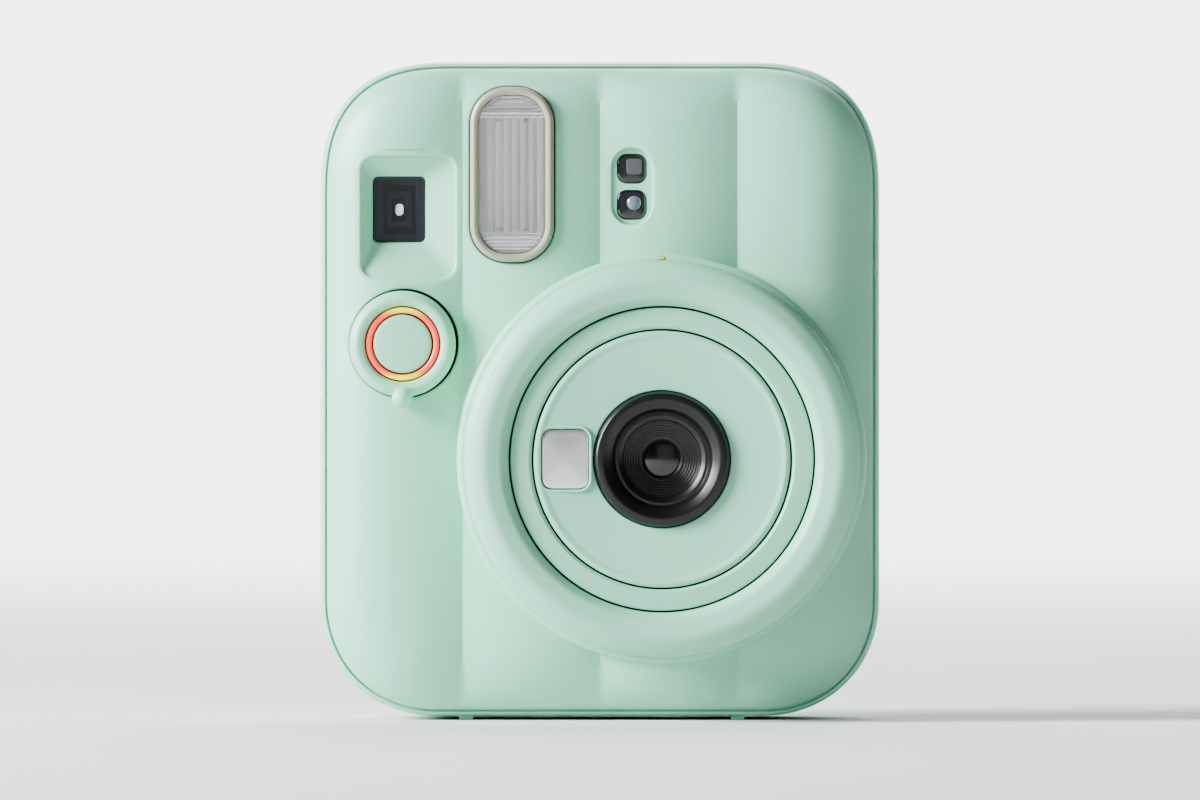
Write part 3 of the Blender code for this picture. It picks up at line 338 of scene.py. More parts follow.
@dataclass(frozen=True)
class CircuitBoard(Finish):
    """Glass-fibre board under green solder mask, with copper tracks as a faint lighter relief."""

    name: str = "solder_mask"

    def paint(self, tree: Any, shader: Any, place: Any) -> None:
        """Tracks are drawn 1 mm wide, coarser than the real 0.2 mm, so that they show."""
        tracks = add_node(tree, "ShaderNodeTexVoronoi", {"Scale": per_metre(3.2), "distance": "CHEBYCHEV"},
                          {"Vector": place}).outputs["Distance"]
        dress(tree, shader, {"Base Color": ramp(tree, tracks, ((0.35, "#1B5A3A"), (0.45, "#2E7A52"))),
                             "Normal": relief(tree, tracks, 0.05, 0.8), "Roughness": 0.32})


@dataclass(frozen=True)
class BandedSleeve(Finish):
    """Printed shrink sleeve with bare metal beyond its ends, banded along one axis."""

    name: str
    axis: str
    stops: tuple[tuple[float, str], ...]
    span_mm: tuple[float, float]
    roughness: float = 0.3

    def paint(self, tree: Any, shader: Any, place: Any) -> None:
        """Bands are cut at real places along the piece; the last and first are metal."""
        along = add_node(tree, "ShaderNodeSeparateXYZ", None, {"Vector": place}).outputs[self.axis]
        share = add_node(tree, "ShaderNodeMapRange",
                         {"From Min": self.span_mm[0] * MM, "From Max": self.span_mm[1] * MM}, {"Value": along})
        dress(tree, shader, {"Base Color": ramp(tree, share.outputs["Result"], self.stops, constant=True),
                             "Normal": relief(tree, noise(tree, place, 2.0, 3.0), 0.03, 0.5),
                             "Roughness": self.roughness})


@dataclass(frozen=True)
class ExitLight(Finish):
    """Painted daylight: a glowing plate that stands in for the room behind, seen through the finder's clear acrylic."""

    name: str
    colour: str
    strength: float = 3.0

    def paint(self, tree: Any, shader: Any, place: Any) -> None:
        """Painted glow, mottled a little, as a view out of focus is."""
        colour = ramp(tree, noise(tree, place, 1.4, 1.0), ((0.3, "#9FAAB2"), (0.6, self.colour)))
        dress(tree, shader, {"Base Color": colour, "Emission Color": colour, "Emission Strength": self.strength})


MINT = MouldedPlastic("mint_abs", "#86CFB0", "#83CCAD")
MINT_DEEP = MouldedPlastic("mint_abs_ring", "#83CBAC", "#80C8A9", (0.40, 0.48))
GREIGE = MouldedPlastic("greige_abs", "#979482", "#928F7D", (0.28, 0.36), 0.5, 0.002)
GREY_ABS = MouldedPlastic("clip_grey_abs", "#4A4C4E", "#535557", (0.4, 0.5), 0.5, 0.004)
FINDER_SLATE = MouldedPlastic("finder_slate_abs", "#3B3E49", "#353843", (0.5, 0.6), 0.5, 0.004)
FRAME_GREY = MouldedPlastic("frame_grey_abs", "#3D4044", "#36393D", (0.55, 0.65), 0.5, 0.006)
GLOSS_BLACK = MouldedPlastic("gloss_black_abs", "#08090B", "#060708", (0.26, 0.34), 0.5, 0.001, 1.42, 0.0)
MATT_BLACK = MouldedPlastic("matt_black_abs", "#1C1D1F", "#232426", (0.62, 0.75), 0.5, 0.012)
SENSOR_BLACK = MouldedPlastic("sensor_smoked_acrylic", "#0E0F11", "#121316", (0.06, 0.1), 1.0, 0.0008, 1.49, 0.6)
RUBBER = MouldedPlastic("feet_rubber", "#2A2B2C", "#323334", (0.75, 0.9), 0.6, 0.02)
NYLON = MouldedPlastic("gear_nylon", "#E6E3D8", "#DDD9CC", (0.45, 0.55), 0.6, 0.006)
YELLOW = MouldedPlastic("index_yellow", "#F4C93A", "#EFC233", (0.4, 0.5), 0.4, 0.003)
CAN_SLEEVE = MouldedPlastic("capacitor_sleeve", "#2A2B33", "#24252C", (0.3, 0.4), 1.0, 0.004)
PAPER = MouldedPlastic("backdrop_paper", "#E0E1E1", "#DEDFDF", (0.85, 0.95), 1.0, 0.0)
CLEAR = ClearPlastic("flash_acrylic", "#FFFFFF", 0.9, 0.02)
SMOKED = ClearPlastic("smoked_acrylic", "#2B2F33", 0.75, 0.04)
FINDER_CLEAR = ClearPlastic("finder_acrylic", "#C9CED3", 1.0, 0.03)
XENON = ClearPlastic("xenon_glass", "#F7F4EA", 0.85, 0.02, 1.47)
# The second colour of each coated glass is a painted reflection towards the rim.
DARK_GLASS = CoatedGlass("lens_glass", "#0C0E11", "#3A3550", 0.25, (0.16, 0.22))
SENSOR_GLASS = CoatedGlass("sensor_glass", "#5E6C7C", "#A9B8C8", 0.1)
EYEPIECE = CoatedGlass("eyepiece_acrylic", "#8D99A3", "#B9C3CC", 0.7)
MIRROR = Metal("front_silvered_mirror", "#F4F6F6", "#F0F2F2", (0.24, 0.30), (6.0, 6.0, 6.0), 0.0002)
FLASH_SILVER = Metal("vapour_silvered_reflector", "#FEFEFE", "#F8F9F9", (0.5, 0.62), (0.3, 0.3, 6.0), 0.004)
ALUMINIUM = Metal("bright_aluminium", "#EEF0F1", "#DDE0E2", (0.10, 0.22))
STEEL = Metal("nickelled_steel", "#B9BCBE", "#9DA1A4", (0.25, 0.38), (4.0, 0.15, 0.15))
BOARD = CircuitBoard()
LAMP = LampGuide("lamp_polycarbonate", RELEASE_CENTRE)
CELL_SLEEVE = BandedSleeve("cell_sleeve", "Z",
                           ((0.0, "#B9BCBE"), (0.035, "#2B2D31"), (0.72, "#B58B3A"), (0.965, "#C8CBCD")), (12.2, 62.7))
EXIT_LIGHT = ExitLight("eyepiece_daylight", "#F4F7F9")

SLOT_FINISHES: dict[str, Finish] = {
    "mint_abs": MINT, "greige_abs": GREIGE, "black_abs": GLOSS_BLACK, "dark_abs": MATT_BLACK,
    "clear_plastic": CLEAR, "smoked_plastic": SMOKED, "optical_glass": DARK_GLASS, "mirror": MIRROR,
    "bright_aluminium": ALUMINIUM, "steel": STEEL, "lamp_plastic": LAMP, "yellow_paint": YELLOW,
    "rubber": RUBBER, "circuit_board": BOARD, "cell_label": CELL_SLEEVE, "capacitor_sleeve": CAN_SLEEVE,
    "white_nylon": NYLON,
}


# ---- modelling ------------------------------------------------------------
class Operation(Enum):
    """What a boolean does with its tool."""

    CUT = "DIFFERENCE"
    ADD = "UNION"


def select_only(piece: Any) -> None:
    """Make one object active with nothing else selected."""
    bpy.ops.object.select_all(action="DESELECT")
    piece.select_set(True)
    bpy.context.view_layer.objects.active = piece


def primitive(name: str, add: Callable[..., Any], **settings: Any) -> Any:
    """Add one of Blender's primitives with nothing else selected.

    Args:
        name: Name of the piece.
        add: Operator that adds it.
        settings: The operator's settings.

    Returns:
        The new object.
    """
    bpy.ops.object.select_all(action="DESELECT")
    add(**settings)
    piece = bpy.context.object
    piece.name = name
    piece.data.name = name
    return piece


def points_of(piece: Any) -> np.ndarray:
    """Places of a piece's vertices, one row each, in the mesh's own units."""
    places = np.empty(len(piece.data.vertices) * 3)
    piece.data.vertices.foreach_get("co", places)
    return places.reshape(-1, 3)


def move_points(piece: Any, places: np.ndarray) -> None:
    """Move a piece's vertices to places in millimetres."""
    piece.data.vertices.foreach_set("co", (np.asarray(places, float) * MM).ravel())


def clean(piece: Any) -> Any:
    """Merge doubles and turn every face outwards.

    Args:
        piece: Object with a closed mesh.

    Returns:
        The same object.
    """
    select_only(piece)
    bpy.ops.object.mode_set(mode="EDIT")
    bpy.ops.mesh.select_all(action="SELECT")
    bpy.ops.mesh.remove_doubles(threshold=0.002 * MM)
    bpy.ops.mesh.normals_make_consistent(inside=False)
    bpy.ops.object.mode_set(mode="OBJECT")
    return piece


def skin(name: str, rings: Sequence[np.ndarray], caps: bool = False, loop: bool = False) -> Any:
    """A wall drawn out ring by ring from a circle of vertices.

    Args:
        name: Name of the piece.
        rings: Arrays of points in millimetres, all of one length, in order along the wall.
        caps: Whether both ends are filled.
        loop: Whether the last ring is joined to the first.

    Returns:
        The new object, with its doubles merged and its faces turned outwards.
    """
    count = len(rings[0])
    piece = primitive(name, bpy.ops.mesh.primitive_circle_add, vertices=count, radius=1.0)
    move_points(piece, rings[0])
    bpy.ops.object.mode_set(mode="EDIT")
    bpy.ops.mesh.select_mode(type="VERT")
    bpy.ops.mesh.select_all(action="SELECT")
    order = list(range(count))
    path = list(rings[1:]) + ([rings[0]] if loop else [])
    for places in path:
        bpy.ops.mesh.extrude_region_move()
        mesh = bmesh.from_edit_mesh(piece.data)
        mesh.verts.ensure_lookup_table()
        first = len(mesh.verts) - count
        partner = {}
        for vert in mesh.verts[first:]:
            for edge in vert.link_edges:
                other = edge.other_vert(vert).index
                if other < first:
                    partner[other] = vert
        fresh = [partner[index] for index in order]
        for vert, place in zip(fresh, np.asarray(places) * MM):
            vert.co = place
        order = [vert.index for vert in fresh]
    if caps:
        bpy.ops.mesh.edge_face_add()
        mesh = bmesh.from_edit_mesh(piece.data)
        mesh.verts.ensure_lookup_table()
        bpy.ops.mesh.select_all(action="DESELECT")
        for vert in mesh.verts[:count]:
            vert.select = True
        mesh.select_flush(True)
        bpy.ops.mesh.edge_face_add()
    bpy.ops.object.mode_set(mode="OBJECT")
    return clean(piece)


def rounded_path(corners: Sequence[Corner], closed: bool, steps: int = 5) -> list[Point]:
    """A polyline with its corners rounded.

    Args:
        corners: Points with the radius of each corner.
        closed: Whether the path runs back to its start.
        steps: Steps of each rounding.

    Returns:
        The points of the path.
    """
    nearly_straight = math.radians(88)
    path: list[Point] = []
    count = len(corners)
    for index, (across, along, radius) in enumerate(corners):
        here = np.array((across, along))
        end = not closed and index in (0, count - 1)
        if radius <= 0 or end:
            path.append((across, along))
            continue
        before = np.array(corners[index - 1][:2]) - here
        after = np.array(corners[(index + 1) % count][:2]) - here
        room = min(np.linalg.norm(before), np.linalg.norm(after)) * 0.499  # two roundings share an edge
        before = before / np.linalg.norm(before)
        after = after / np.linalg.norm(after)
        half = math.acos(max(-1.0, min(1.0, float(before @ after)))) / 2
        if half > nearly_straight:
            path.append((across, along))
            continue
        reach = min(radius / math.tan(half), room)
        start, finish = here + before * reach, here + after * reach
        for share in np.arange(steps + 1) / steps:
            point = start * (1 - share) ** 2 + here * 2 * share * (1 - share) + finish * share ** 2
            path.append((float(point[0]), float(point[1])))
    return path


def dome(radius: float, crown: float, sag: float, steps: int) -> list[Corner]:
    """Profile of a shallow dome, from its axis out to its rim.

    Args:
        radius: Radius of the rim.
        crown: Y of the middle.
        sag: How far the rim lies behind the middle along Y.
        steps: Steps of the profile.

    Returns:
        Corners with no rounding, as turned() takes them.
    """
    return [(radius * step / steps, crown + sag * (step / steps) ** 2, 0.0) for step in range(steps + 1)]


def turned(name: str, centre: Point, corners: Sequence[Corner], steps: int = 96, closed: bool = True,
           rounding: int = 5) -> Any:
    """A turned piece whose axis runs along Y.

    Args:
        name: Name of the piece.
        centre: X and Z of the axis.
        corners: Profile as radius, Y and the rounding of the corner.
        steps: Points round the axis.
        closed: Whether the profile closes on itself; an open one starts and ends on the axis.
        rounding: Steps of each rounding.

    Returns:
        The new object.
    """
    profile = rounded_path(corners, closed, rounding)
    angles = np.linspace(0, 2 * math.pi, steps, endpoint=False)
    rings = [np.stack((centre[0] + radius * np.sin(angles), np.full(steps, depth),
                       centre[1] + radius * np.cos(angles)), 1) for radius, depth in profile]
    return skin(name, rings, loop=closed)


def rounded_rectangle(centre: Point, width: float, height: float, radius: float, steps: int = 8) -> Outline:
    """An outline that can be drawn larger or smaller with its corners kept round.

    Args:
        centre: X and Z of its middle.
        width: Size along X.
        height: Size along Z.
        radius: Corner radius.
        steps: Steps of each corner.

    Returns:
        A function from an offset to the outline's points.
    """
    def draw(offset: float) -> np.ndarray:
        corner = max(radius + offset, 0.02)
        half_x, half_z = width / 2 + offset - corner, height / 2 + offset - corner
        points = []
        for quarter, (side_x, side_z) in enumerate(((1, 1), (-1, 1), (-1, -1), (1, -1))):
            for step in range(steps + 1):
                turn = math.radians(90 * (quarter + step / steps))
                points.append((centre[0] + side_x * half_x + corner * math.cos(turn),
                               centre[1] + side_z * half_z + corner * math.sin(turn)))
        return np.array(points)
    return draw


def disc(centre: Point, radius: float, steps: int = 96) -> Outline:
    """A round outline that can be drawn larger or smaller.

    Args:
        centre: X and Z of its middle.
        radius: Its radius.
        steps: Points round it.

    Returns:
        A function from an offset to the outline's points.
    """
    angles = np.linspace(0, 2 * math.pi, steps, endpoint=False)

    def draw(offset: float) -> np.ndarray:
        reach = max(radius + offset, 0.01)
        return np.stack((centre[0] + reach * np.cos(angles), centre[1] + reach * np.sin(angles)), 1)
    return draw


def at_depth(outline: np.ndarray, depth: float | np.ndarray) -> np.ndarray:
    """Points of an X and Z outline at a depth along Y."""
    return np.stack((outline[:, 0], np.broadcast_to(depth, len(outline)), outline[:, 1]), 1)


def plate(name: str, outline: Outline, corners: Sequence[Corner], loop: bool = False, rounding: int = 4) -> Any:
    """A plate or frame that follows an outline.

    Args:
        name: Name of the piece.
        outline: Function from an offset to the outline.
        corners: Section as offset, Y and the rounding of the corner.
        loop: Whether the section closes on itself, which makes a frame; otherwise both ends are capped.
        rounding: Steps of each rounding.

    Returns:
        The new object.
    """
    section = rounded_path(corners, loop, rounding)
    return skin(name, [at_depth(outline(offset), depth) for offset, depth in section], caps=not loop, loop=loop)


def cut(piece: Any, cutter: Any, operation: Operation = Operation.CUT) -> Any:
    """Cut one solid by another, or add it, remove the tool and mend the seams.

    Args:
        piece: Object that is changed.
        cutter: Object that is used up.
        operation: Whether the tool is cut away or added.

    Returns:
        The changed object.
    """
    select_only(piece)
    modifier = piece.modifiers.new("cut", "BOOLEAN")
    modifier.operation = operation.value
    modifier.solver = "EXACT"
    modifier.object = cutter
    bpy.ops.object.modifier_apply(modifier=modifier.name)
    bpy.data.objects.remove(cutter, do_unlink=True)
    bpy.ops.object.mode_set(mode="EDIT")
    bpy.ops.mesh.select_all(action="SELECT")
    bpy.ops.mesh.remove_doubles(threshold=0.001 * MM)
    bpy.ops.mesh.dissolve_degenerate(threshold=0.001 * MM)
    bpy.ops.mesh.select_all(action="DESELECT")
    bpy.ops.mesh.select_non_manifold()
    bpy.ops.mesh.fill_holes(sides=0)
    bpy.ops.object.mode_set(mode="OBJECT")
    return piece


def join(name: str, pieces: Sequence[Any]) -> Any:
    """Join several objects into one mesh.

    Args:
        name: Name of the result.
        pieces: Objects to join.

    Returns:
        The joined object.
    """
    bpy.ops.object.select_all(action="DESELECT")
    for piece in pieces:
        piece.select_set(True)
    bpy.context.view_layer.objects.active = pieces[0]
    bpy.ops.object.join()
    pieces[0].name = name
    pieces[0].data.name = name
    return pieces[0]


def block(name: str, low: Sequence[float], high: Sequence[float], bevel: float = 0.0, segments: int = 3) -> Any:
    """A block with rounded edges, from its corners in millimetres.

    Args:
        name: Name of the piece.
        low: Lowest X, Y and Z.
        high: Highest X, Y and Z.
        bevel: Radius of its edges.
        segments: Steps of the rounding.

    Returns:
        The new object.
    """
    piece = primitive(name, bpy.ops.mesh.primitive_cube_add, size=1.0)
    lowest, highest = np.array(low, float), np.array(high, float)
    move_points(piece, points_of(piece) * (highest - lowest) + (lowest + highest) / 2)
    if bevel > 0:
        bpy.ops.object.mode_set(mode="EDIT")
        bpy.ops.mesh.select_all(action="SELECT")
        bpy.ops.mesh.bevel(offset=bevel * MM, segments=segments, profile=0.5)
        bpy.ops.object.mode_set(mode="OBJECT")
    return piece


def finish_piece(piece: Any, finish: Finish, body: str, replaces: Sequence[str] = (),
                 angle: float = 30.0) -> Any:
    """Smooth, dress and mount a finished piece.

    Args:
        piece: The object.
        finish: Its finish.
        body: Body of the model that it moves with.
        replaces: Nodes of the model that it stands for.
        angle: Edges sharper than this, in degrees, stay crisp.

    Returns:
        The same object.
    """
    select_only(piece)
    bpy.ops.object.shade_smooth_by_angle(angle=math.radians(angle))
    piece.data.materials.clear()
    piece.data.materials.append(finish.material())
    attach(piece, body)
    if replaces:
        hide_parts(*replaces)
    log.info("%s on %s, %d faces", piece.name, body, len(piece.data.polygons))
    return piece


# ---- the body's shape -----------------------------------------------------
@dataclass
class BodyShape:
    """The outline of the body and the fluted face that both covers share, in millimetres."""

    half_width: float = 52.0
    bottom: float = 0.7
    top: float = 122.4
    top_corner: Point = (25.0, 2.6)
    bottom_corner: Point = (21.8, 2.1)
    face_inset: float = 1.3
    valley_y: float = -11.3
    flute_sag: float = 2.0
    flute_width: float = 25.5
    valleys: tuple[float, ...] = (-50.7, -25.5, 0.0, 25.5, 50.7)
    roll_depth: float = 5.0
    roll_side: float = 12.0
    roll_top: float = 11.0
    roll_bottom: float = 15.0
    corner_blend: float = 2.4
    flute_steps: int = 26
    roll_steps: int = 15
    row_steps: int = 58

    @staticmethod
    def corner_loss(away: np.ndarray, corner: Point, inset: float) -> np.ndarray:
        """How much a corner takes off the outline.

        Args:
            away: Distance from the outline's straight side, along the other axis.
            corner: Reach of the corner and the power of its curve.
            inset: How far the outline is drawn in.

        Returns:
            The loss at each distance.
        """
        width, power = corner[0] - inset, corner[1]
        share = np.clip(np.clip(away, 0, None) / width, 0, 1)
        return width * (1 - (1 - (1 - share) ** power) ** (1 / power))

    def span(self, x: np.ndarray, inset: float) -> tuple[np.ndarray, np.ndarray]:
        """Ends of the outline above each X.

        Args:
            x: X of each point.
            inset: How far the outline is drawn in.

        Returns:
            Lowest and highest Z at each X.
        """
        away = self.half_width - inset - np.abs(x)
        return (self.bottom + inset + self.corner_loss(away, self.bottom_corner, inset),
                self.top - inset - self.corner_loss(away, self.top_corner, inset))

    def reach(self, z: np.ndarray, inset: float) -> tuple[np.ndarray, np.ndarray]:
        """Half width of the outline at each Z.

        Args:
            z: Z of each point.
            inset: How far the outline is drawn in.

        Returns:
            Half widths as the bottom corners leave them, and as the top ones do.
        """
        return (self.half_width - inset - self.corner_loss(z - self.bottom - inset, self.bottom_corner, inset),
                self.half_width - inset - self.corner_loss(self.top - inset - z, self.top_corner, inset))

    def face_y(self, x: np.ndarray, z: np.ndarray) -> np.ndarray:
        """The fluted face: valleys between round flutes, and a roll back towards the outline all round.

        Args:
            x: X of each point.
            z: Z of each point.

        Returns:
            Y of the face at each point.
        """
        low, high = self.span(x, self.face_inset)
        bottom_x, top_x = self.reach(z, self.face_inset)
        edge = np.zeros_like(x)
        for away, across, roll in ((high - z, top_x - np.abs(x), self.roll_top),
                                   (z - low, bottom_x - np.abs(x), self.roll_bottom)):
            up = np.clip(away / roll, 1e-6, None)
            side = np.clip(across / self.roll_side, 1e-6, None)
            edge = np.maximum(edge, 1 - (up ** -self.corner_blend + side ** -self.corner_blend)
                              ** (-1 / self.corner_blend))
        edge = np.clip(edge, 0, 1)  # 0 on the flat of the face, 1 at the outline
        rise = np.zeros_like(x)
        for left, right in zip(self.valleys, self.valleys[1:]):
            across = (x - (left + right) / 2) / ((right - left) / 2)
            rise = np.where((x >= left) & (x <= right), 1 - across ** 2, rise)
        return (self.valley_y - self.flute_sag * rise * (1 - edge ** 4)
                + self.roll_depth * (1 - np.sqrt(np.clip(1 - edge ** 2, 0, None))))

    def columns(self) -> np.ndarray:
        """X of the mesh's columns at the face's inset, close together where the face rolls over."""
        edge_x = self.half_width - self.face_inset
        middle = np.arange(-1.5 * self.flute_steps, 1.5 * self.flute_steps + 1) * self.flute_width / self.flute_steps
        turn = np.linspace(0, math.pi / 2, self.roll_steps + 1)
        side = edge_x - self.roll_side * (1 - np.sin(turn))
        return np.concatenate((-side[::-1], middle[np.abs(middle) < side[0] - 0.3], side))

    def grid(self, inset: float) -> tuple[np.ndarray, np.ndarray]:
        """Places of the mesh's vertices across the outline.

        Args:
            inset: How far the outline is drawn in.

        Returns:
            X and Z of every vertex, row by row.
        """
        edge_x = self.half_width - self.face_inset
        x = self.columns() * (self.half_width - inset) / edge_x
        low, high = self.span(x, inset)
        turn = np.sin(np.linspace(0, math.pi / 2, self.roll_steps + 1))
        rows = [low + self.roll_bottom * (1 - share) for share in turn[::-1]]
        rows += [(low + self.roll_bottom) * (1 - step / self.row_steps) + (high - self.roll_top) * step / self.row_steps
                 for step in range(1, self.row_steps)]
        rows += [high - self.roll_top * (1 - share) for share in turn]
        z = np.array(rows)
        return np.broadcast_to(x, z.shape).copy(), z

    def ring(self, inset: float, depth: float | None) -> np.ndarray:
        """The outline of the body as a closed ring.

        Args:
            inset: How far the outline is drawn in.
            depth: Y of the ring; without it the ring lies on the fluted face.

        Returns:
            The ring's points.
        """
        x, z = self.grid(inset)
        y = self.face_y(x, z) if depth is None else np.full_like(x, depth)
        points = np.stack((x, y, z), 2)
        return np.concatenate((points[0, :-1], points[:-1, -1], points[-1, :0:-1], points[:0:-1, 0]))

    def sheet(self, name: str, inset: float, depth: Callable[[np.ndarray, np.ndarray], np.ndarray]) -> Any:
        """A sheet across the outline.

        Args:
            name: Name of the piece.
            inset: How far the outline is drawn in.
            depth: Function from X and Z to Y.

        Returns:
            The new object, open at its edge.
        """
        x, z = self.grid(inset)
        rows, columns = x.shape
        piece = primitive(name, bpy.ops.mesh.primitive_grid_add, x_subdivisions=columns - 1, y_subdivisions=rows - 1,
                          size=2.0)
        move_points(piece, np.stack((x, depth(x, z), z), 2))
        return piece


SHAPE = BodyShape()


def lip_rings(outline: Outline, fillet: float, steps: int) -> list[np.ndarray]:
    """Rings of a tool from well above the fluted face down round the lip of an opening.

    Args:
        outline: Function from an offset to the opening's outline.
        fillet: Radius of the lip.
        steps: Steps of the lip.

    Returns:
        The rings, the last one at the outline itself and a fillet below the face.
    """
    start = math.radians(22)  # angle at which the tool's wall crosses the face
    reach = fillet * (1 - math.sin(start)) + math.cos(start)
    section = [(reach, -3.0), (reach, fillet * (1 - math.cos(start)) - math.sin(start))]
    for step in range(steps + 1):
        turn = start + (math.pi / 2 - start) * step / steps
        section.append((fillet * (1 - math.sin(turn)), fillet * (1 - math.cos(turn))))
    rings = []
    for offset, lift in section:
        points = outline(offset)
        rings.append(at_depth(points, SHAPE.face_y(points[:, 0], points[:, 1]) + lift))
    return rings


def draped_cutter(name: str, outline: Outline, fillet: float, depth: float, steps: int = 6) -> Any:
    """A tool that cuts an opening in the fluted face and leaves its lip evenly rounded.

    Args:
        name: Name of the tool.
        outline: Function from an offset to the opening's outline.
        fillet: Radius of the lip.
        depth: Y that the tool reaches.
        steps: Steps of the lip.

    Returns:
        The tool.
    """
    return skin(name, lip_rings(outline, fillet, steps) + [at_depth(outline(0.0), depth)], caps=True)


# ---- the two covers -------------------------------------------------------
@dataclass
class Covers:
    """Front and rear mouldings of the body, with their openings."""

    collar: Point = (32.2, 38.0)
    collar_face: float = -14.5
    wall: float = 2.2
    sensor_recess: Point = (SENSOR_X, 99.1)
    finder_mouth: Outline = rounded_rectangle((-35.6, 93.4), 17.1, 22.2, 2.4, 8)

    def shell(self, name: str, rims: Sequence[Point], front: bool) -> Any:
        """A closed shell from an outer sheet, its rims and an inner sheet.

        Args:
            name: Name of the piece.
            rims: Inset and Y of each ring from the outer sheet to the inner one.
            front: Whether it is the fluted front or the plain rear.

        Returns:
            The new object.
        """
        inner_inset = SHAPE.face_inset + self.wall
        if front:
            outer = SHAPE.sheet("outer", rims[0][0], SHAPE.face_y)
            inner = SHAPE.sheet("inner", inner_inset, lambda x, z: SHAPE.face_y(x, z) + self.wall)
            rings = [SHAPE.ring(rims[0][0], None)]
            rings += [SHAPE.ring(inset, depth) for inset, depth in rims[1:]]
            last = SHAPE.ring(inner_inset, None) + np.array((0, self.wall, 0))
        else:
            outer = SHAPE.sheet("outer", rims[0][0], lambda x, z: np.full_like(x, rims[0][1]))
            inner = SHAPE.sheet("inner", rims[-1][0], lambda x, z: np.full_like(x, rims[-1][1]))
            rings = [SHAPE.ring(inset, depth) for inset, depth in rims[:-1]]
            last = SHAPE.ring(*rims[-1])
        band = skin("band", rings + [last])
        return clean(join(name, [outer, inner, band]))

    def front(self) -> Any:
        """Mint front cover with its groove, collar and openings."""
        edge_y = SHAPE.valley_y + SHAPE.roll_depth
        rims = [(SHAPE.face_inset, edge_y)]
        rims += rounded_path(((1.28, edge_y + 0.25, 0), (1.26, edge_y + 1.15, 0.15), (0.95, edge_y + 1.15, 0.12),
                              (0.92, edge_y + 0.35, 0.2), (0.38, edge_y + 0.75, 0.9), (0.02, -2.9, 2.2), (0.0, -1.0, 0),
                              (0.0, 7.55, 0.3), (0.28, 7.85, 0), (1.95, 7.85, 0), (2.2, 7.6, 0)), False, 4)
        rims += [(2.2, 2.0), (2.3, -2.0), (2.9, -3.4)]
        cover = self.shell("front_shell", rims, True)
        self.add_collar(cover)
        cut(cover, draped_cutter("flash_cut", rounded_rectangle(FLASH_CENTRE, 15.9, 32.9, 7.0, 12), 0.45, -2.0))
        cut(cover, draped_cutter("finder_cut", self.finder_mouth, 0.9, -2.0))
        button = disc((RELEASE_CENTRE[0] + 0.2, RELEASE_CENTRE[1] + 0.08), 10.14, 120)
        cut(cover, draped_cutter("button_cut", button, 0.45, -2.0))
        pill = rounded_rectangle(self.sensor_recess, 7.4, 14.3, 3.65, 12)
        cut(cover, draped_cutter("sensor_cut", pill, 0.35, -11.4))
        for height in SENSOR_HEIGHTS:
            window = rounded_rectangle((SENSOR_X, height), 5.6, 5.6, 1.85, 8)
            cut(cover, plate("sensor_hole", window, ((0.0, -14.0, 0), (0.0, -5.0, 0))))
        cut(cover, block("battery_gap", (-60, -4.7, -6), (-38.8, 30, 60.7)))
        for x in FOOT_X:
            cut(cover, block("foot_seat", (x - 1.5, -4.2, -1), (x + 1.5, 4.2, 1.15)))
        cover = join("front_shell", [cover, self.finder_funnel()])
        return finish_piece(cover, MINT, "camera_body", ["front_cover"])

    def add_collar(self, cover: Any) -> None:
        """Raise the flat collar round the lens and bore the lens opening through it.

        Args:
            cover: The front cover, which is changed.
        """
        inner, outer = self.collar
        bore = ((0, -20, 0), (inner + 1.5, -20, 0), (inner + 1.5, 6, 0), (0, 6, 0))
        cut(cover, turned("lens_hole", LENS_AXIS, bore, 180, False))
        ring = turned("collar", LENS_AXIS, ((inner, self.collar_face, 0.3), (outer, self.collar_face, 1.7),
                                            (outer, -9.6, 0), (inner, -9.6, 0)), 180, True, 6)
        cut(cover, ring, Operation.ADD)
        cut(cover, block("mark_pocket", (10.7, -16, 85.4), (12.1, -13.6, 86.1)))

    def finder_funnel(self) -> Any:
        """Tapered walls from the lip of the recess down to the finder's window."""
        throat = rounded_rectangle(FINDER_CENTRE, 9.8, 12.2, 1.0, 8)
        start = self.finder_mouth(0.0)
        start_y = SHAPE.face_y(start[:, 0], start[:, 1]) + 0.88
        rings = []
        for share in (0.0, 0.3, 0.6, 0.85, 0.96):
            rings.append(at_depth(start * (1 - share) + throat(0.0) * share, start_y * (1 - share) - 8.95 * share))
        rings += [at_depth(throat(offset), depth) for offset, depth in ((0.0, -8.6), (0.0, -6.9), (1.2, -6.9))]
        back = self.finder_mouth(0.4)
        for share in (0.6, 0.3, 0.0):
            rings.append(at_depth(back * (1 - share) + throat(1.2) * share,
                                  (start_y + 1.2) * (1 - share) - 7.6 * share))
        return skin("finder_funnel", rings, loop=True)

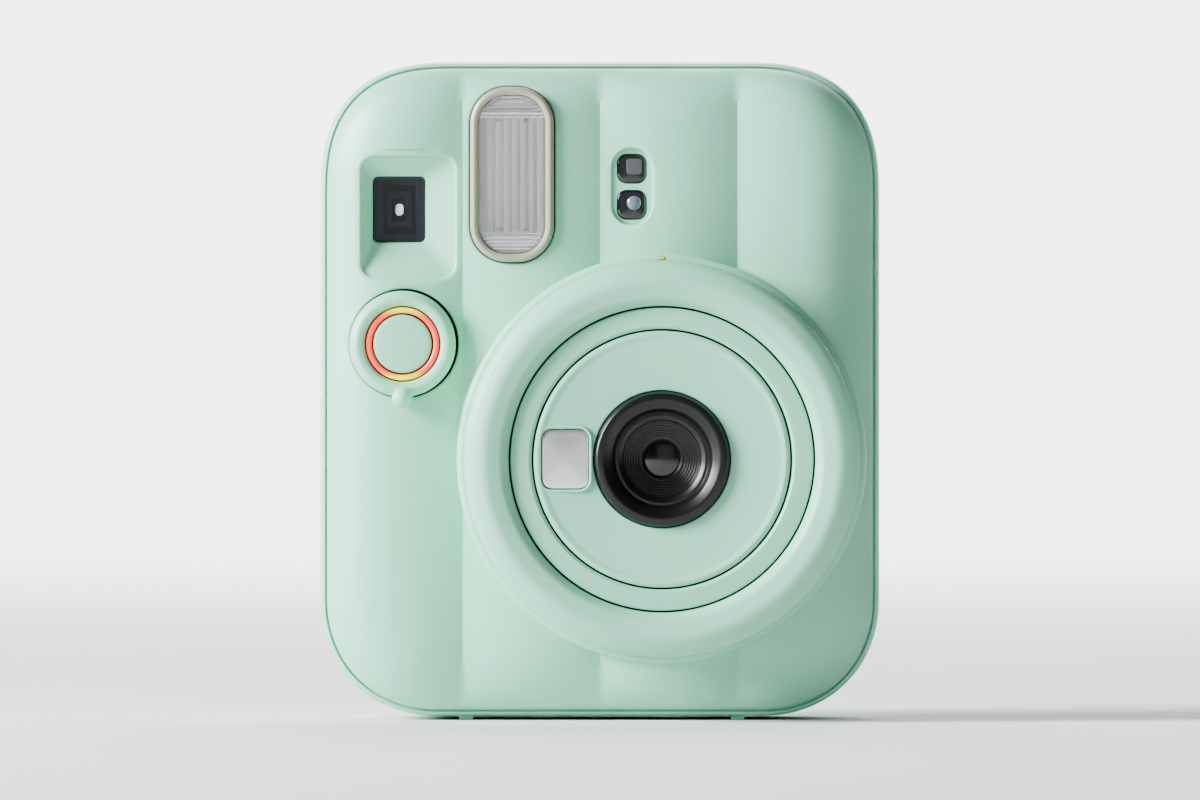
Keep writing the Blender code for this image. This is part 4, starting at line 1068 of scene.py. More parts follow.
    def rear(self) -> Any:
        """Mint rear cover with the film slot, door opening, eyepiece and counter window."""
        outer = rounded_path(((4.6, 33.3, 0), (3.9, 33.3, 0.7), (1.3, 30.8, 3.6), (0.0, 26.5, 3.0), (0.0, 20.0, 0),
                              (0.0, 8.45, 0.3), (0.28, 8.15, 0), (1.95, 8.15, 0), (2.2, 8.4, 0)), False, 7)
        cover = self.shell("rear_shell", outer + [(2.2, 20.0), (2.4, 26.0), (3.6, 29.4), (5.6, 31.1)], False)
        opening = door_outline(0.3, 0.8)
        cut(cover, skin("door_opening", [at_depth(opening, depth) for depth in (26.0, 36.0)], caps=True))
        cut(cover, block("film_slot", (-17.1, 12.6, 112), (39.9, 17.4, 130)))
        cut(cover, block("flap_relief", (-17.4, 12.3, 112), (40.2, 18.2, 119.3)))
        cut(cover, turned("eyepiece_hole", FINDER_CENTRE, ((0, 36, 0), (6.6, 36, 0), (6.6, 33.6, 0), (5.9, 33.1, 0.5),
                                                           (5.1, 32.2, 0.4), (5.1, 27, 0), (0, 27, 0)), 72, False))
        cut(cover, block("counter_window", (-37.1, 27, 43.9), (-32.9, 36, 47.3), 0.5, 3))
        well = ((0, 36, 0), (2.9, 36, 0), (2.5, 31.6, 0), (0, 31.6, 0))
        for centre in SCREWS:
            cut(cover, turned("screw_well", centre, well, 40, False))
        cut(cover, block("battery_gap", (-60, -6, -6), (-38.8, 24.0, 60.7)))
        for x in FOOT_X:
            cut(cover, block("foot_seat", (x - 1.5, 19.3, -1), (x + 1.5, 27.7, 1.15)))
        return finish_piece(cover, MINT, "camera_body", ["rear_cover"])

    def build(self) -> None:
        """Both covers."""
        self.front()
        self.rear()


def door_outline(gap: float, side_gap: float, steps: int = 24) -> np.ndarray:
    """Outline of the film door, grown by gap all round and by side_gap at its hinge.

    Args:
        gap: Growth at the top, bottom and left.
        side_gap: Growth at the right.
        steps: Steps of each corner.

    Returns:
        X and Z of the outline's points.
    """
    inset, left = 6.2 - gap, -23.6 - gap
    right = SHAPE.half_width - inset
    reach = SHAPE.top_corner[0] - inset
    turn = np.linspace(math.pi / 2, 0, steps + 1)
    columns = np.concatenate(([left, left + 0.5], right - reach * (1 - np.cos(turn)) ** 0.85))
    stretch = (right + side_gap - gap - left) / (right - left)
    places = left + (columns - left) * stretch
    low, high = SHAPE.span(columns, inset)
    low[0] += 0.5
    high[0] -= 0.5
    return np.concatenate((np.stack((places, low), 1), np.stack((places, high), 1)[::-1]))


# ---- stage ----------------------------------------------------------------
@dataclass(frozen=True)
class StudioLamp:
    """A soft square lamp, with its size in metres and its power in watts."""

    name: str
    place: Corner
    aim: Corner
    size: float
    watts: float

    def build(self) -> None:
        """Hang the lamp and turn it to its aim."""
        bpy.ops.object.light_add(type="AREA", location=self.place)
        lamp = bpy.context.object
        lamp.name = self.name
        lamp.data.size = self.size
        lamp.data.energy = self.watts
        lamp.rotation_euler = (Vector(self.aim) - Vector(self.place)).to_track_quat("-Z", "Y").to_euler()


@dataclass
class Stage:
    """Pale floor, soft light from the upper left and a camera square to the front, all in metres."""

    distance: float = 2.6
    view_height: float = 0.0595
    view_width: float = 0.22305
    view_plane: float = 0.006
    sensor_mm: float = 36.0
    floor_reach: float = 7.0
    sweep_start: float = 3.6
    sweep_radius: float = 0.8
    sweep_steps: int = 12
    wall_height: float = 5.0
    sky_strength: float = 0.045
    lamps: tuple[StudioLamp, ...] = (
        StudioLamp("key_light", (-1.28, -0.48, 0.6), (0.0, 0.0, 0.06), 0.66, 112.0),
        StudioLamp("front_card", (0.5, -3.2, 0.9), (0.0, 0.0, 0.4), 2.2, 6.0),
        StudioLamp("back_light", (0.4, 0.9, 1.1), (0.0, 0.0, 0.06), 1.0, 4.0),
        StudioLamp("backdrop_light", (0.0, 2.7, 3.0), (0.0, 4.7, 0.9), 2.4, 640.0))

    def floor(self) -> None:
        """A wide floor that sweeps up behind the object."""
        floor = primitive("floor", bpy.ops.mesh.primitive_plane_add, size=1.0)
        wide, far = self.floor_reach, self.sweep_start
        corners = ((-wide, -wide, 0), (wide, -wide, 0), (-wide, far, 0), (wide, far, 0))
        floor.data.vertices.foreach_set("co", np.array(corners, float).ravel())
        bpy.ops.object.mode_set(mode="EDIT")
        bpy.ops.mesh.select_mode(type="VERT")
        bpy.ops.mesh.select_all(action="DESELECT")
        mesh = bmesh.from_edit_mesh(floor.data)
        for vert in mesh.verts:
            vert.select = vert.co.y > 0
        mesh.select_flush(True)
        for step in range(1, self.sweep_steps + 1):
            turn = math.pi / 2 * step / self.sweep_steps
            bpy.ops.mesh.extrude_region_move()
            mesh = bmesh.from_edit_mesh(floor.data)
            for vert in mesh.verts:
                if vert.select:
                    vert.co.y = far + self.sweep_radius * math.sin(turn)
                    vert.co.z = self.sweep_radius * (1 - math.cos(turn))
        bpy.ops.mesh.extrude_region_move(TRANSFORM_OT_translate={"value": (0, 0, self.wall_height)})
        bpy.ops.object.mode_set(mode="OBJECT")
        select_only(floor)
        bpy.ops.object.shade_smooth()
        floor.data.materials.append(PAPER.material())

    def sky(self) -> None:
        """Dim, slightly cool light from all round."""
        world = bpy.data.worlds.new("studio")
        world.use_nodes = True
        sockets = world.node_tree.nodes["Background"].inputs
        sockets["Color"].default_value = (0.95, 0.98, 1.0, 1.0)
        sockets["Strength"].default_value = self.sky_strength
        bpy.context.scene.world = world

    def camera(self) -> None:
        """A long lens, level with the middle of the body."""
        bpy.ops.object.camera_add(location=(0.0, -self.distance, self.view_height), rotation=(math.pi / 2, 0, 0))
        camera = bpy.context.object
        camera.name = "camera"
        camera.data.sensor_width = self.sensor_mm
        camera.data.lens = self.sensor_mm * (self.distance - self.view_plane) / self.view_width
        camera.data.clip_end = 20.0
        bpy.context.scene.camera = camera

    def build(self) -> None:
        """Floor, lamps, sky and camera."""
        self.floor()
        for lamp in self.lamps:
            lamp.build()
        self.sky()
        self.camera()


# ---- lens -----------------------------------------------------------------
@dataclass
class Lens:
    """Turning ring, the two barrels that it drives out, and the glass."""

    ribs: int = 8
    rib_step: float = 6.25
    rib_starts: tuple[float, float] = (18.8, 198.8)
    rib_half_width: float = 1.25
    rib_height: float = 0.28
    rim_relief: float = 0.3
    steps: int = 720
    mirror_centre: Point = (LENS_AXIS[0] - 17.8, LENS_AXIS[1])

    def ring(self) -> Any:
        """Fat turning ring with two patches of grip ribs on its rim."""
        profile = rounded_path(((28.25, -31.1, 0.5), (29.4, -32.9, 1.9), (33.0, -33.6, 3.4), (36.7, -31.9, 3.4),
                                (36.7, -26.3, 0.6), (36.7, -14.95, 0.4), (33.2, -14.95, 0.2), (33.2, -16.5, 0),
                                (29.9, -16.5, 0), (29.9, -24.0, 0), (28.25, -25.0, 0)), True, 8)
        angles = np.linspace(0, 360, self.steps, endpoint=False)
        ribbed = np.zeros(self.steps)
        for start in self.rib_starts:
            for index in range(self.ribs):
                middle = start + index * self.rib_step
                ribbed = np.maximum(ribbed, np.clip(1.15 - ((angles - middle) / self.rib_half_width) ** 2, 0, 1))
        turn = np.radians(angles)
        rings = []
        for radius, depth in profile:
            # 1 on the rim itself, easing to 0 on the ring's inner faces, its rear edge and its front roll
            on_rim = np.clip((radius - 34.9) / 1.2, 0, 1) * np.clip(-15.6 - depth, 0, 1) * np.clip(depth + 31.3, 0, 1)
            reach = radius + self.rib_height * ribbed * on_rim - self.rim_relief * on_rim
            rings.append(np.stack((LENS_AXIS[0] + reach * np.sin(turn), np.full(self.steps, depth),
                                   LENS_AXIS[1] + reach * np.cos(turn)), 1))
        piece = skin("lens_ring_cover", rings, loop=True)
        return finish_piece(piece, MINT_DEEP, "lens_ring", ["lens_ring"])

    def outer_barrel(self) -> Any:
        """First barrel, a plain lipped tube."""
        piece = turned("outer_barrel_tube", LENS_AXIS,
                       ((24.0, -30.9, 0.25), (24.5, -31.35, 0.4), (27.9, -31.15, 0.45), (27.9, -13.2, 0.2),
                        (26.2, -13.2, 0.2), (26.2, -28.6, 0.4), (24.0, -28.6, 0.2)), 240)
        return finish_piece(piece, MINT_DEEP, "outer_barrel", ["outer_barrel"])

    def inner_barrel(self) -> Any:
        """Dished front panel with its tube, the bezel's bore and the mirror's pocket."""
        panel = turned("inner_barrel_panel", LENS_AXIS,
                       ((12.7, -30.45, 0.3), (14.0, -30.5, 0.6), (21.9, -31.05, 1.2), (22.9, -31.35, 0.7),
                        (23.65, -31.0, 0.5), (23.65, -14.6, 0.2), (22.2, -14.6, 0.2), (22.2, -29.0, 0.4),
                        (12.7, -28.8, 0.2)), 300, True, 6)
        mirror = rounded_rectangle(self.mirror_centre, 9.0, 11.3, 2.0, 10)
        lip = plate("mirror_lip", mirror, ((0.55, -30.2, 0), (0.55, -30.95, 0.25), (0.2, -31.2, 0.2),
                                           (-0.05, -30.95, 0.15), (-0.05, -30.2, 0)), True)
        cut(panel, plate("mirror_pocket", mirror, ((0.0, -33, 0), (0.0, -29.4, 0))))
        piece = join("inner_barrel_panel", [panel, lip])
        return finish_piece(piece, MINT, "inner_barrel", ["inner_barrel"])

    def mirror(self) -> Any:
        """Slightly domed mirror with a bevelled edge."""
        width, height = 8.5, 10.8
        outline = rounded_rectangle(self.mirror_centre, width, height, 1.8, 12)
        middle = np.array(self.mirror_centre)
        rings = [at_depth(outline(0.0), -29.7), at_depth(outline(0.0), -30.75), at_depth(outline(-0.06), -30.86)]
        for share in np.linspace(1.0, 0.02, 14):
            inside = (outline(-0.2) - middle) * share
            crown = (1 - (inside[:, 0] / (width / 2)) ** 2) * (1 - (inside[:, 1] / (height / 2)) ** 2)
            rings.append(at_depth(middle + inside, -30.92 - 0.2 * crown))
        piece = skin("selfie_mirror_glass", rings, caps=True)
        return finish_piece(piece, MIRROR, "inner_barrel", ["selfie_mirror"], 40)

    def bezel(self) -> Any:
        """Glossy black funnel with stepped light baffles round the glass."""
        corners = [(12.5, -27.0, 0), (12.5, -30.9, 0.3), (12.0, -31.75, 0.6), (10.9, -31.95, 0.9), (9.35, -31.1, 0.8),
                   (8.75, -30.2, 0.25), (8.6, -29.75, 0.1), (8.05, -29.8, 0.15), (7.3, -29.35, 0.15),
                   (7.05, -28.75, 0.1)]
        reach, depth = 6.8, -28.7
        for _ in range(6):
            corners += [(reach, depth, 0.05), (reach - 0.12, depth + 0.32, 0.05)]
            reach, depth = reach - 0.48, depth + 0.34
        corners += [(3.7, -26.65, 0.1), (3.3, -26.3, 0.1), (3.3, -26.0, 0), (12.5, -26.0, 0)]
        piece = turned("lens_bezel_funnel", LENS_AXIS, corners, 180, True, 4)
        return finish_piece(piece, GLOSS_BLACK, "inner_barrel", ["lens_bezel"], 35)

    def glass(self) -> Any:
        """Front element, domed towards the front."""
        corners = dome(4.5, -26.55, 1.15, 14) + [(4.5, -24.3, 0.1), (0.0, -24.3, 0)]
        piece = turned("front_lens_dome", LENS_AXIS, corners, 96, False)
        return finish_piece(piece, DARK_GLASS, "inner_barrel", ["front_lens"], 40)

    def build(self) -> None:
        """The whole lens."""
        self.ring()
        self.outer_barrel()
        self.inner_barrel()
        self.mirror()
        self.bezel()
        self.glass()


# ---- flash ----------------------------------------------------------------
@dataclass
class Flash:
    """Flash head: bezel, ribbed window, bright trough and tube."""

    frame_size: Point = (15.5, 32.5)
    frame_corner: float = 6.8
    window: Point = (12.3, 29.2)
    window_grid: tuple[int, int] = (122, 236)
    rib_pitch: float = 0.62
    rib_height: float = 0.3
    flute_pitch: float = 1.55
    flute_height: float = 0.16
    crown: float = 0.35
    end_height: float = 4.0
    trough: Point = (5.2, 10.8)
    trough_depth: float = 7.3

    def bezel(self) -> Any:
        """Greige frame with a rounded face and a step down to the window."""
        outline = rounded_rectangle(FLASH_CENTRE, *self.frame_size, self.frame_corner, 14)
        piece = plate("flash_frame", outline, ((0.0, -9.8, 0.2), (0.0, -13.9, 0.4), (-0.7, -14.35, 0.5),
                                               (-1.45, -14.05, 0.3), (-1.55, -13.2, 0.2), (-1.55, -9.8, 0)), True)
        return finish_piece(piece, GREIGE, "camera_body", ["flash_bezel"])

    def pane(self) -> Any:
        """Acrylic window: prism ribs across both ends and upright flutes between them."""
        half_x, half_z = self.window[0] / 2, self.window[1] / 2
        columns, rows = self.window_grid
        piece = primitive("flash_pane", bpy.ops.mesh.primitive_grid_add, x_subdivisions=columns, y_subdivisions=rows,
                          size=2.0)
        places = points_of(piece)
        across, up = places[:, 0], places[:, 1] * half_z
        corner = half_x - 0.9
        room = np.clip(np.abs(up) - (half_z - corner), 0, corner) / corner
        reach = half_x - corner * (1 - np.sqrt(np.clip(1 - room ** 2, 0, 1)))
        x = across * reach
        ends = np.clip((np.abs(up) - (half_z - self.end_height)) / 0.15, 0, 1)
        prism = np.abs(((np.abs(up) / self.rib_pitch) % 1.0) - 0.5) * 2
        flute = np.abs(np.sin(np.pi * x / self.flute_pitch))
        rise = ends * prism * self.rib_height + (1 - ends) * flute * self.flute_height
        rise += self.crown * (1 - (x / half_x) ** 2)
        edge = np.clip((1 - np.abs(across)) / 0.06, 0, 1) * np.clip((half_z - np.abs(up)) / 0.4, 0, 1)
        move_points(piece, np.stack((FLASH_CENTRE[0] + x, -13.05 - rise * edge, FLASH_CENTRE[1] + up), 1))
        select_only(piece)
        bpy.ops.object.mode_set(mode="EDIT")
        bpy.ops.mesh.select_mode(type="VERT")
        bpy.ops.mesh.select_all(action="SELECT")
        bpy.ops.mesh.extrude_region_move()
        mesh = bmesh.from_edit_mesh(piece.data)
        for vert in mesh.verts:
            if vert.select:
                vert.co.y = -11.95 * MM
        bmesh.update_edit_mesh(piece.data)
        bpy.ops.object.mode_set(mode="OBJECT")
        clean(piece)
        return finish_piece(piece, CLEAR, "camera_body", ["flash_window"], 35)

    def reflector(self) -> Any:
        """Polished trough, bent round the tube, with its end cheeks."""
        half, reach = self.trough
        section = []
        for share in np.linspace(0, 1, 21):
            turn = math.pi * (share - 0.5)
            x = half * math.sin(turn)
            y = -11.2 + self.trough_depth * max(math.cos(turn), 0.0) ** 0.8
            section.append((x, y))
        wall = [np.array([(FLASH_CENTRE[0] + x, y, FLASH_CENTRE[1] + z) for x, y in section]) for z in (-reach, reach)]
        sheet = ruled_sheet("flash_trough", wall, 18)
        select_only(sheet)
        modifier = sheet.modifiers.new("sheet", "SOLIDIFY")
        modifier.thickness = 0.3 * MM
        modifier.offset = 1.0
        bpy.ops.object.modifier_apply(modifier=modifier.name)
        cheeks = []
        for z in (-reach - 0.15, reach + 0.15):
            cheek = rounded_rectangle((FLASH_CENTRE[0], -7.6), 2 * half + 0.4, 7.2, 2.6, 6)(0.0)
            points = [np.stack((cheek[:, 0], cheek[:, 1], np.full(len(cheek), FLASH_CENTRE[1] + z + lift)), 1)
                      for lift in (-0.15, 0.15)]
            cheeks.append(skin("flash_cheek", points, caps=True))
        piece = join("flash_trough", [sheet] + cheeks)
        return finish_piece(piece, FLASH_SILVER, "camera_body", ["flash_reflector"])

    def tube(self) -> Any:
        """Xenon tube with its narrower end caps, all in one glass finish."""
        angles = np.linspace(0, 2 * math.pi, 32, endpoint=False)
        profile = rounded_path(((0.0, -12.0, 0), (1.1, -12.0, 0.3), (1.1, -10.4, 0.2), (1.3, -10.2, 0.1),
                                (1.3, 10.2, 0.1), (1.1, 10.4, 0.2), (1.1, 12.0, 0.3), (0.0, 12.0, 0)), False, 4)
        rings = [np.stack((FLASH_CENTRE[0] + radius * np.cos(angles), -6.4 + radius * np.sin(angles),
                           np.full(32, FLASH_CENTRE[1] + z)), 1) for radius, z in profile]
        piece = skin("flash_xenon_tube", rings)
        return finish_piece(piece, XENON, "camera_body", ["flash_tube"])

    def clips(self) -> None:
        """Grey clips that hold the tube at both ends, each with two legs."""
        for index, side in enumerate((-1, 1)):
            height = FLASH_CENTRE[1] + side * 11.7
            clip = block("flash_clip_%d" % index, (FLASH_CENTRE[0] - 4.4, -11.6, height - 0.55),
                         (FLASH_CENTRE[0] + 4.4, -9.2, height + 0.55), 0.4, 4)
            finish_piece(clip, GREY_ABS, "camera_body")
            for hand in (-1, 1):
                x = FLASH_CENTRE[0] + hand * 2.6
                leg = block("flash_leg_%d_%d" % (index, hand + 1), (x - 0.5, -11.9, height - side * 1.6 - 0.35),
                            (x + 0.5, -11.0, height - side * 1.6 + 0.35), 0.25, 3)
                finish_piece(leg, GREY_ABS, "camera_body")

    def build(self) -> None:
        """The whole flash head."""
        self.bezel()
        self.pane()
        self.reflector()
        self.tube()
        self.clips()


def ruled_sheet(name: str, ends: Sequence[np.ndarray], steps: int) -> Any:
    """A sheet ruled between two open edges.

    Args:
        name: Name of the piece.
        ends: Points of the two edges.
        steps: Divisions between them.

    Returns:
        The new object, open all round.
    """
    count = len(ends[0])
    piece = primitive(name, bpy.ops.mesh.primitive_grid_add, x_subdivisions=count - 1, y_subdivisions=steps, size=2.0)
    rows = [ends[0] * (1 - step / steps) + ends[1] * (step / steps) for step in range(steps + 1)]
    move_points(piece, np.concatenate(rows))
    return piece


@dataclass
class FlashTray:
    """Bright plate round the trough, seen through the window's ribbed ends."""

    size: Point = (12.2, 29.0)
    corner: float = 5.4
    gap: Point = (5.0, 10.6)

    def build(self) -> None:
        """Plate with the gap for the trough."""
        x, z = FLASH_CENTRE
        half_x, half_z = self.gap
        piece = plate("flash_tray", rounded_rectangle(FLASH_CENTRE, *self.size, self.corner, 12),
                      ((0.0, -11.3, 0), (0.0, -11.6, 0.1)))
        cut(piece, block("trough_gap", (x - half_x, -13, z - half_z), (x + half_x, -10, z + half_z)))
        finish_piece(piece, ALUMINIUM, "camera_body")


# ---- viewfinder, sensors and release --------------------------------------
@dataclass
class Viewfinder:
    """Front window with the dark stepped frames behind it, and the eyepiece."""

    window: Point = (9.5, 11.9)
    frames: tuple[Corner, ...] = ((6.1, 9.2, -6.9), (4.3, 6.6, -6.5), (2.8, 4.3, -6.1), (1.5, 2.2, -5.7))

    def build(self) -> None:
        """Window, frames, a glowing plate painted as daylight at the exit, and eyepiece."""
        pane = plate("finder_pane", rounded_rectangle(FINDER_CENTRE, *self.window, 0.7, 6),
                     ((0.0, -7.0, 0), (0.0, -8.25, 0.12), (-0.2, -8.4, 0.1)))
        finish_piece(pane, FINDER_CLEAR, "camera_body", ["viewfinder_window"])
        for index, (width, height, depth) in enumerate(self.frames):
            outer = rounded_rectangle(FINDER_CENTRE, self.window[0] - 0.2, self.window[1] - 0.2, 0.6, 6)
            inner = rounded_rectangle(FINDER_CENTRE, width, height, 0.25 + 0.15 * index, 6)
            rings = [at_depth(outer(0.0), depth), at_depth(inner(0.08), depth), at_depth(inner(0.0), depth + 0.06),
                     at_depth(inner(0.0), depth + 0.3), at_depth(outer(0.0), depth + 0.3)]
            frame_piece = skin("finder_frame_%d" % (index + 1), rings, loop=True)
            finish_piece(frame_piece, (FINDER_SLATE, MATT_BLACK)[index % 2], "camera_body")
        # painted light: this plate glows to stand in for daylight coming through the finder from behind
        bright = plate("finder_exit", rounded_rectangle(FINDER_CENTRE, 2.0, 3.0, 0.4, 6),
                       ((0.0, 28.6, 0), (0.0, 28.2, 0.1), (-0.2, 28.1, 0)))
        finish_piece(bright, EXIT_LIGHT, "camera_body")
        corners = dome(4.6, 33.25, -0.75, 12) + [(4.6, 30.1, 0.1), (0.0, 30.1, 0)]
        eyepiece = turned("eyepiece_dome", FINDER_CENTRE, corners, 72, False)
        finish_piece(eyepiece, EYEPIECE, "camera_body", ["eyepiece_lens"], 40)


@dataclass
class Sensors:
    """Two dark windows in a pill-shaped recess, each with its cell behind."""

    size: float = 5.3

    def build(self) -> None:
        """Windows, the square metering cell and the round receiver."""
        for name, height in zip(("upper", "lower"), SENSOR_HEIGHTS):
            pane = plate("sensor_pane_" + name, rounded_rectangle((SENSOR_X, height), self.size, self.size, 1.75, 8),
                         ((0.0, -9.9, 0), (0.0, -11.3, 0.2), (-0.35, -11.45, 0.2), (-2.2, -11.55, 0)), rounding=4)
            finish_piece(pane, SENSOR_BLACK, "camera_body", ["sensor_window_" + name])
        centre = (SENSOR_X + 0.45, SENSOR_HEIGHTS[0] + 0.4)
        cell = plate("metering_cell", rounded_rectangle(centre, 2.9, 2.9, 0.6, 6),
                     ((0.0, -11.45, 0), (0.0, -11.62, 0.05), (-0.25, -11.66, 0.05), (-1.2, -11.68, 0)))
        finish_piece(cell, FRAME_GREY, "camera_body")
        centre = (SENSOR_X + 0.4, SENSOR_HEIGHTS[1] + 0.35)
        corners = dome(1.3, -12.1, 0.5, 8) + [(1.3, -11.45, 0), (0.0, -11.45, 0)]
        eye = turned("receiver_lens", centre, corners, 48, False)
        finish_piece(eye, SENSOR_GLASS, "camera_body", angle=40)


@dataclass
class Release:
    """Shutter button, its lit ring and the self-timer lever round them."""

    knob_drop: float = 9.9

    def button(self) -> Any:
        """Cap with a slight crown."""
        corners = dome(4.9, -14.75, 0.22, 10) + [(5.4, -14.3, 0.4), (5.4, -9.4, 0.1), (0.0, -9.4, 0)]
        piece = turned("shutter_cap", RELEASE_CENTRE, corners, 96, False)
        return finish_piece(piece, MINT, "shutter_button", ["shutter_button"])

    def lamp(self) -> Any:
        """Thin raised light guide."""
        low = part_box("lamp_ring")[1].y / MM
        piece = turned("lamp_guide", RELEASE_CENTRE, ((5.75, -14.35, 0.2), (6.25, -14.6, 0.5), (6.75, -14.35, 0.2),
                                                      (6.75, low, 0), (5.75, low, 0)), 144)
        return finish_piece(piece, LAMP, "camera_body", ["lamp_ring"])

    def lever(self) -> Any:
        """Ring lever with a ball for the finger."""
        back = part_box("timer_lever")[1].y / MM
        ring = turned("timer_ring", RELEASE_CENTRE, ((7.05, -14.3, 0.3), (7.5, -15.0, 0.5), (8.6, -15.25, 1.2),
                                                     (9.85, -14.1, 0.9), (9.85, back, 0.1), (7.05, back, 0.1)), 144)
        ball = primitive("timer_ball", bpy.ops.mesh.primitive_uv_sphere_add, segments=48, ring_count=24, radius=1.0)
        centre = np.array((RELEASE_CENTRE[0], -15.3, RELEASE_CENTRE[1] - self.knob_drop))
        move_points(ball, points_of(ball)[:, [0, 2, 1]] * np.array((1.95, 2.0, 1.95)) + centre)
        cut(ring, clean(ball), Operation.ADD)
        return finish_piece(ring, MINT, "timer_lever", ["timer_lever"], 35)

    def build(self) -> None:
        """Button, lamp and lever."""
        self.button()
        self.lamp()
        self.lever()


# ---- doors, feet and small parts ------------------------------------------
@dataclass
class FilmDoor:
    """Back panel with its pack window, latch and knuckles."""

    face: float = 33.3
    back: float = 31.3
    window: Point = (11.4, 47.0)
    latch: Point = (-17.4, 66.0)
    knob: Point = (-17.4, 63.5)
    knuckles: tuple[float, float] = (28.0, 84.0)

    def panel(self) -> Any:
        """Panel with softened edges and a shallow frame round the pack window."""
        section = rounded_path(((0.0, self.back, 0), (0.0, self.face - 0.02, 0.45), (-0.7, self.face, 0)), False, 5)
        rings = [at_depth(door_outline(offset, offset), depth) for offset, depth in section]
        door = skin("film_door_panel", rings, caps=True)
        window = rounded_rectangle(self.window, 9.6, 18.6, 1.6, 8)
        cut(door, plate("window_step", window, ((1.6, 36, 0), (1.3, self.face - 0.35, 0.2), (0.6, self.face - 0.45, 0)),
                        rounding=3))
        cut(door, plate("window_hole", window, ((0.0, 28, 0), (0.0, 36, 0))))
        cut(door, plate("latch_dish", rounded_rectangle(self.latch, 6.6, 16.6, 1.2, 8),
                        ((1.1, 36, 0), (0.9, self.face - 0.25, 0.25), (0.0, self.face - 0.8, 0.3), (0.0, 28, 0))))
        for height in self.knuckles:
            cut(door, block("knuckle", (42.8, 30.7, height), (44.4, 31.9, height + 8), 0.3, 2), Operation.ADD)
        return finish_piece(door, MINT, "film_door", ["film_door"])

    def build(self) -> None:
        """Panel, window and latch."""
        self.panel()
        pane = plate("pack_pane", rounded_rectangle(self.window, 9.0, 18.0, 1.4, 8),
                     ((0.0, 31.55, 0), (0.0, 32.75, 0.15), (-0.3, 32.88, 0.1), (-2.5, 32.9, 0)))
        finish_piece(pane, SMOKED, "film_door", ["pack_window"])
        latch = plate("latch_slider", rounded_rectangle(self.knob, 6.0, 11.0, 1.0, 6),
                      ((0.0, 30.4, 0), (0.0, 32.6, 0.4), (-0.45, 32.95, 0.2), (-1.2, 32.75, 0.4)), rounding=4)
        back = plate("latch_back", rounded_rectangle(self.knob, 8.4, 13.4, 1.0, 6), ((0.0, 29.8, 0), (0.0, 30.9, 0.2)))
        cut(latch, back, Operation.ADD)
        for index in range(5):
            height = self.knob[1] - 3.4 + 1.7 * index
            rib = block("latch_rib", (self.knob[0] - 1.9, 32.3, height - 0.3),
                        (self.knob[0] + 1.9, 32.99, height + 0.3), 0.2, 2)
            cut(latch, rib, Operation.ADD)
        finish_piece(latch, MINT_DEEP, "door_latch", ["door_latch"])


@dataclass
class BatteryDoor:
    """Side door that wraps the lower left corner, with a grip dish."""

    top: float = 60.4
    right: float = -40.2
    depth: tuple[float, float] = (-4.4, 23.7)
    wall: float = 2.2

    def outline(self, inset: float) -> np.ndarray:
        """Points down the left side of the body and round its corner.

        Args:
            inset: How far the outline is drawn in.

        Returns:
            X and Z of the points.
        """
        half = SHAPE.half_width - inset
        low_corner = SHAPE.bottom + SHAPE.bottom_corner[0]
        side = [(-half, z) for z in np.linspace(self.top, low_corner, 30)]
        turn = np.linspace(0, 1, 44)[1:] ** 1.6
        x = -half + (half + self.right) * turn
        low, _ = SHAPE.span(x, inset)
        return np.array(side + list(zip(x, low)))

    def build(self) -> None:
        """Wrapped shell with rounded edges and grip ribs."""
        front, rear = self.depth
        rings = []
        for inset, depth in rounded_path(((0.0, front + 0.02, 0.5), (0.0, rear, 0.5), (self.wall, rear, 0.3),
                                          (self.wall, front, 0.3)), True, 4):
            rings.append(at_depth(self.outline(inset), depth))
        closed = [np.array([ring[index] for ring in rings]) for index in range(len(rings[0]))]
        door = skin("battery_door_shell", closed, caps=True)
        for index in range(7):
            height = 43.0 + 1.9 * index
            cut(door, block("grip_rib", (-53, 4.0, height - 0.35), (-51.75, 16.0, height + 0.35), 0.25, 2))
        finish_piece(door, MINT, "battery_door", ["battery_door"])


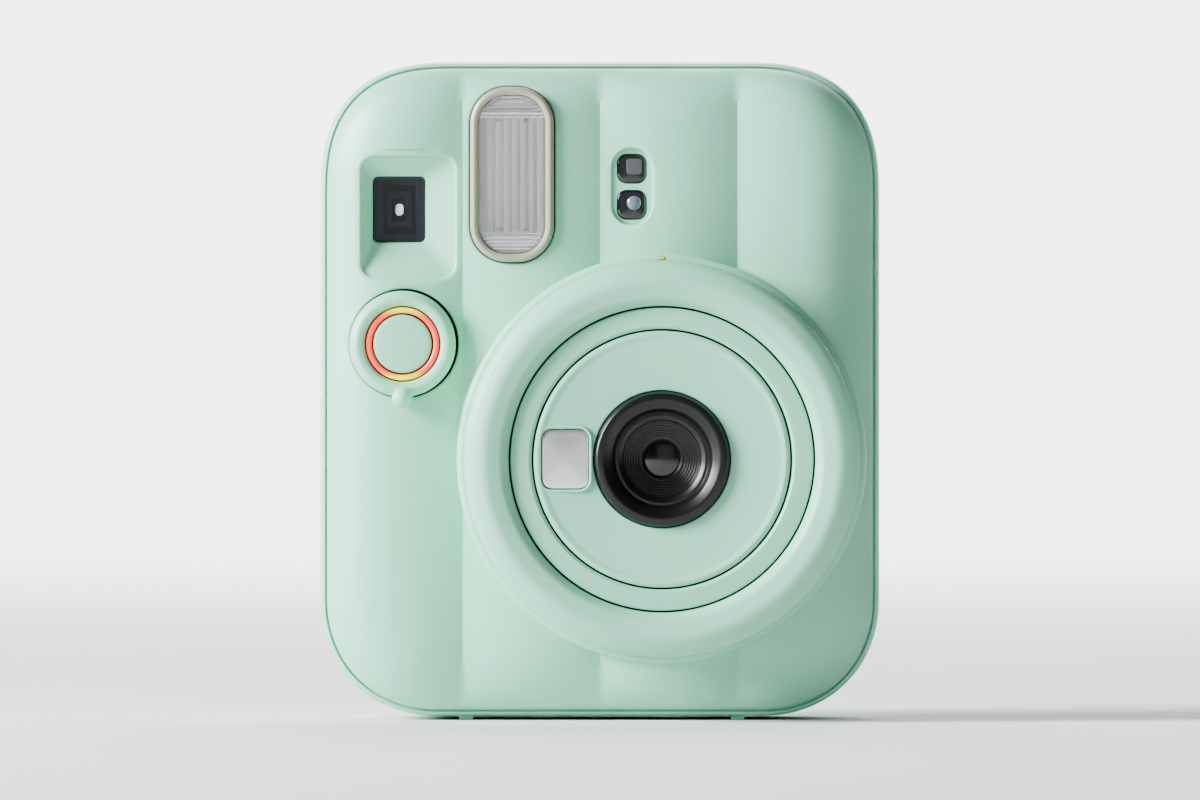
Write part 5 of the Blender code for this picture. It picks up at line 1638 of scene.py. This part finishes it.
@dataclass
class SmallParts:
    """Feet, screws, index mark and counter dial."""

    dial: Point = (-35.0, 42.0)
    last_picture: int = 10
    number_radius: float = 3.9

    def feet(self) -> None:
        """Four small nubs, each standing for its node."""
        for index in range(4):
            name = "foot_%d" % (index + 1)
            low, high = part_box(name)
            nub = block("nub_%d" % (index + 1), low / MM, high / MM, 0.35, 3)
            finish_piece(nub, MINT_DEEP, "camera_body", [name])

    def screw_heads(self) -> None:
        """Pan-head screws with a cross recess."""
        for index, centre in enumerate(SCREWS):
            name = "case_screw_%d" % (index + 1)
            low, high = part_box(name)
            front, back, half = high.y / MM, low.y / MM, (high.x - low.x) / 2 / MM
            head = turned("screw_%d" % (index + 1), centre,
                          ((0, front, 0), (half * 0.7, front - 0.1, 0.2), (half, front - 0.45, 0.25),
                           (half, front - 1.0, 0.1), (half * 0.5, front - 1.2, 0.1), (half * 0.5, back, 0),
                           (0, back, 0)), 48, False)
            for width, tall in ((0.28, half * 0.62), (half * 0.62, 0.28)):
                cut(head, block("cross", (centre[0] - width, front - 0.6, centre[1] - tall),
                                (centre[0] + width, front + 1, centre[1] + tall)))
            finish_piece(head, STEEL, "camera_body", [name])

    def mark(self) -> None:
        """Yellow index mark in the collar."""
        low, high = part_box("index_mark")
        piece = block("index_dot", low / MM, high / MM, 0.12, 3)
        finish_piece(piece, YELLOW, "camera_body", ["index_mark"])

    def counter(self) -> None:
        """Counter dial with a number for each picture."""
        dial = turned("counter_disc", self.dial, ((0, 29.2, 0), (5.2, 29.2, 0.15), (5.5, 29.05, 0.1), (5.5, 28.0, 0.1),
                                                  (0, 28.0, 0)), 96, False)
        finish_piece(dial, NYLON, "counter_dial", ["counter_dial"])
        for count in range(self.last_picture + 1):
            bpy.ops.object.select_all(action="DESELECT")
            bpy.ops.object.text_add()
            digit = bpy.context.object
            digit.data.body = str(count)
            digit.data.size = 1.5 * MM
            digit.data.align_x = "CENTER"
            digit.data.align_y = "CENTER"
            bpy.ops.object.convert(target="MESH")
            digit.name = "counter_number_%d" % count
            turn = math.radians(-30 * count)
            points = points_of(digit) / MM
            across, up = -points[:, 0], points[:, 1] + self.number_radius
            x = self.dial[0] + across * math.cos(turn) - up * math.sin(turn)
            z = self.dial[1] + across * math.sin(turn) + up * math.cos(turn)
            move_points(digit, np.stack((x, np.full_like(x, 29.23), z), 1))
            finish_piece(digit, MATT_BLACK, "counter_dial")

    def build(self) -> None:
        """All of them."""
        self.feet()
        self.screw_heads()
        self.mark()
        self.counter()


# ---- carried-over parts ---------------------------------------------------
def dress_nodes() -> None:
    """Give every node of the model that is still showing the finish of its slot."""
    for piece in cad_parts.values():
        for slot in piece.material_slots:
            key = slot.material.name.split(".")[0]
            slot.material = SLOT_FINISHES[key].material()


def main() -> None:
    """Build the camera and its stage."""
    for assembly in (Stage(), Covers(), Lens(), Flash(), Viewfinder(), Sensors(), Release(), FilmDoor(), BatteryDoor(),
                     SmallParts(), FlashTray()):
        assembly.build()
    dress_nodes()


if __name__ == "__main__":
    main()
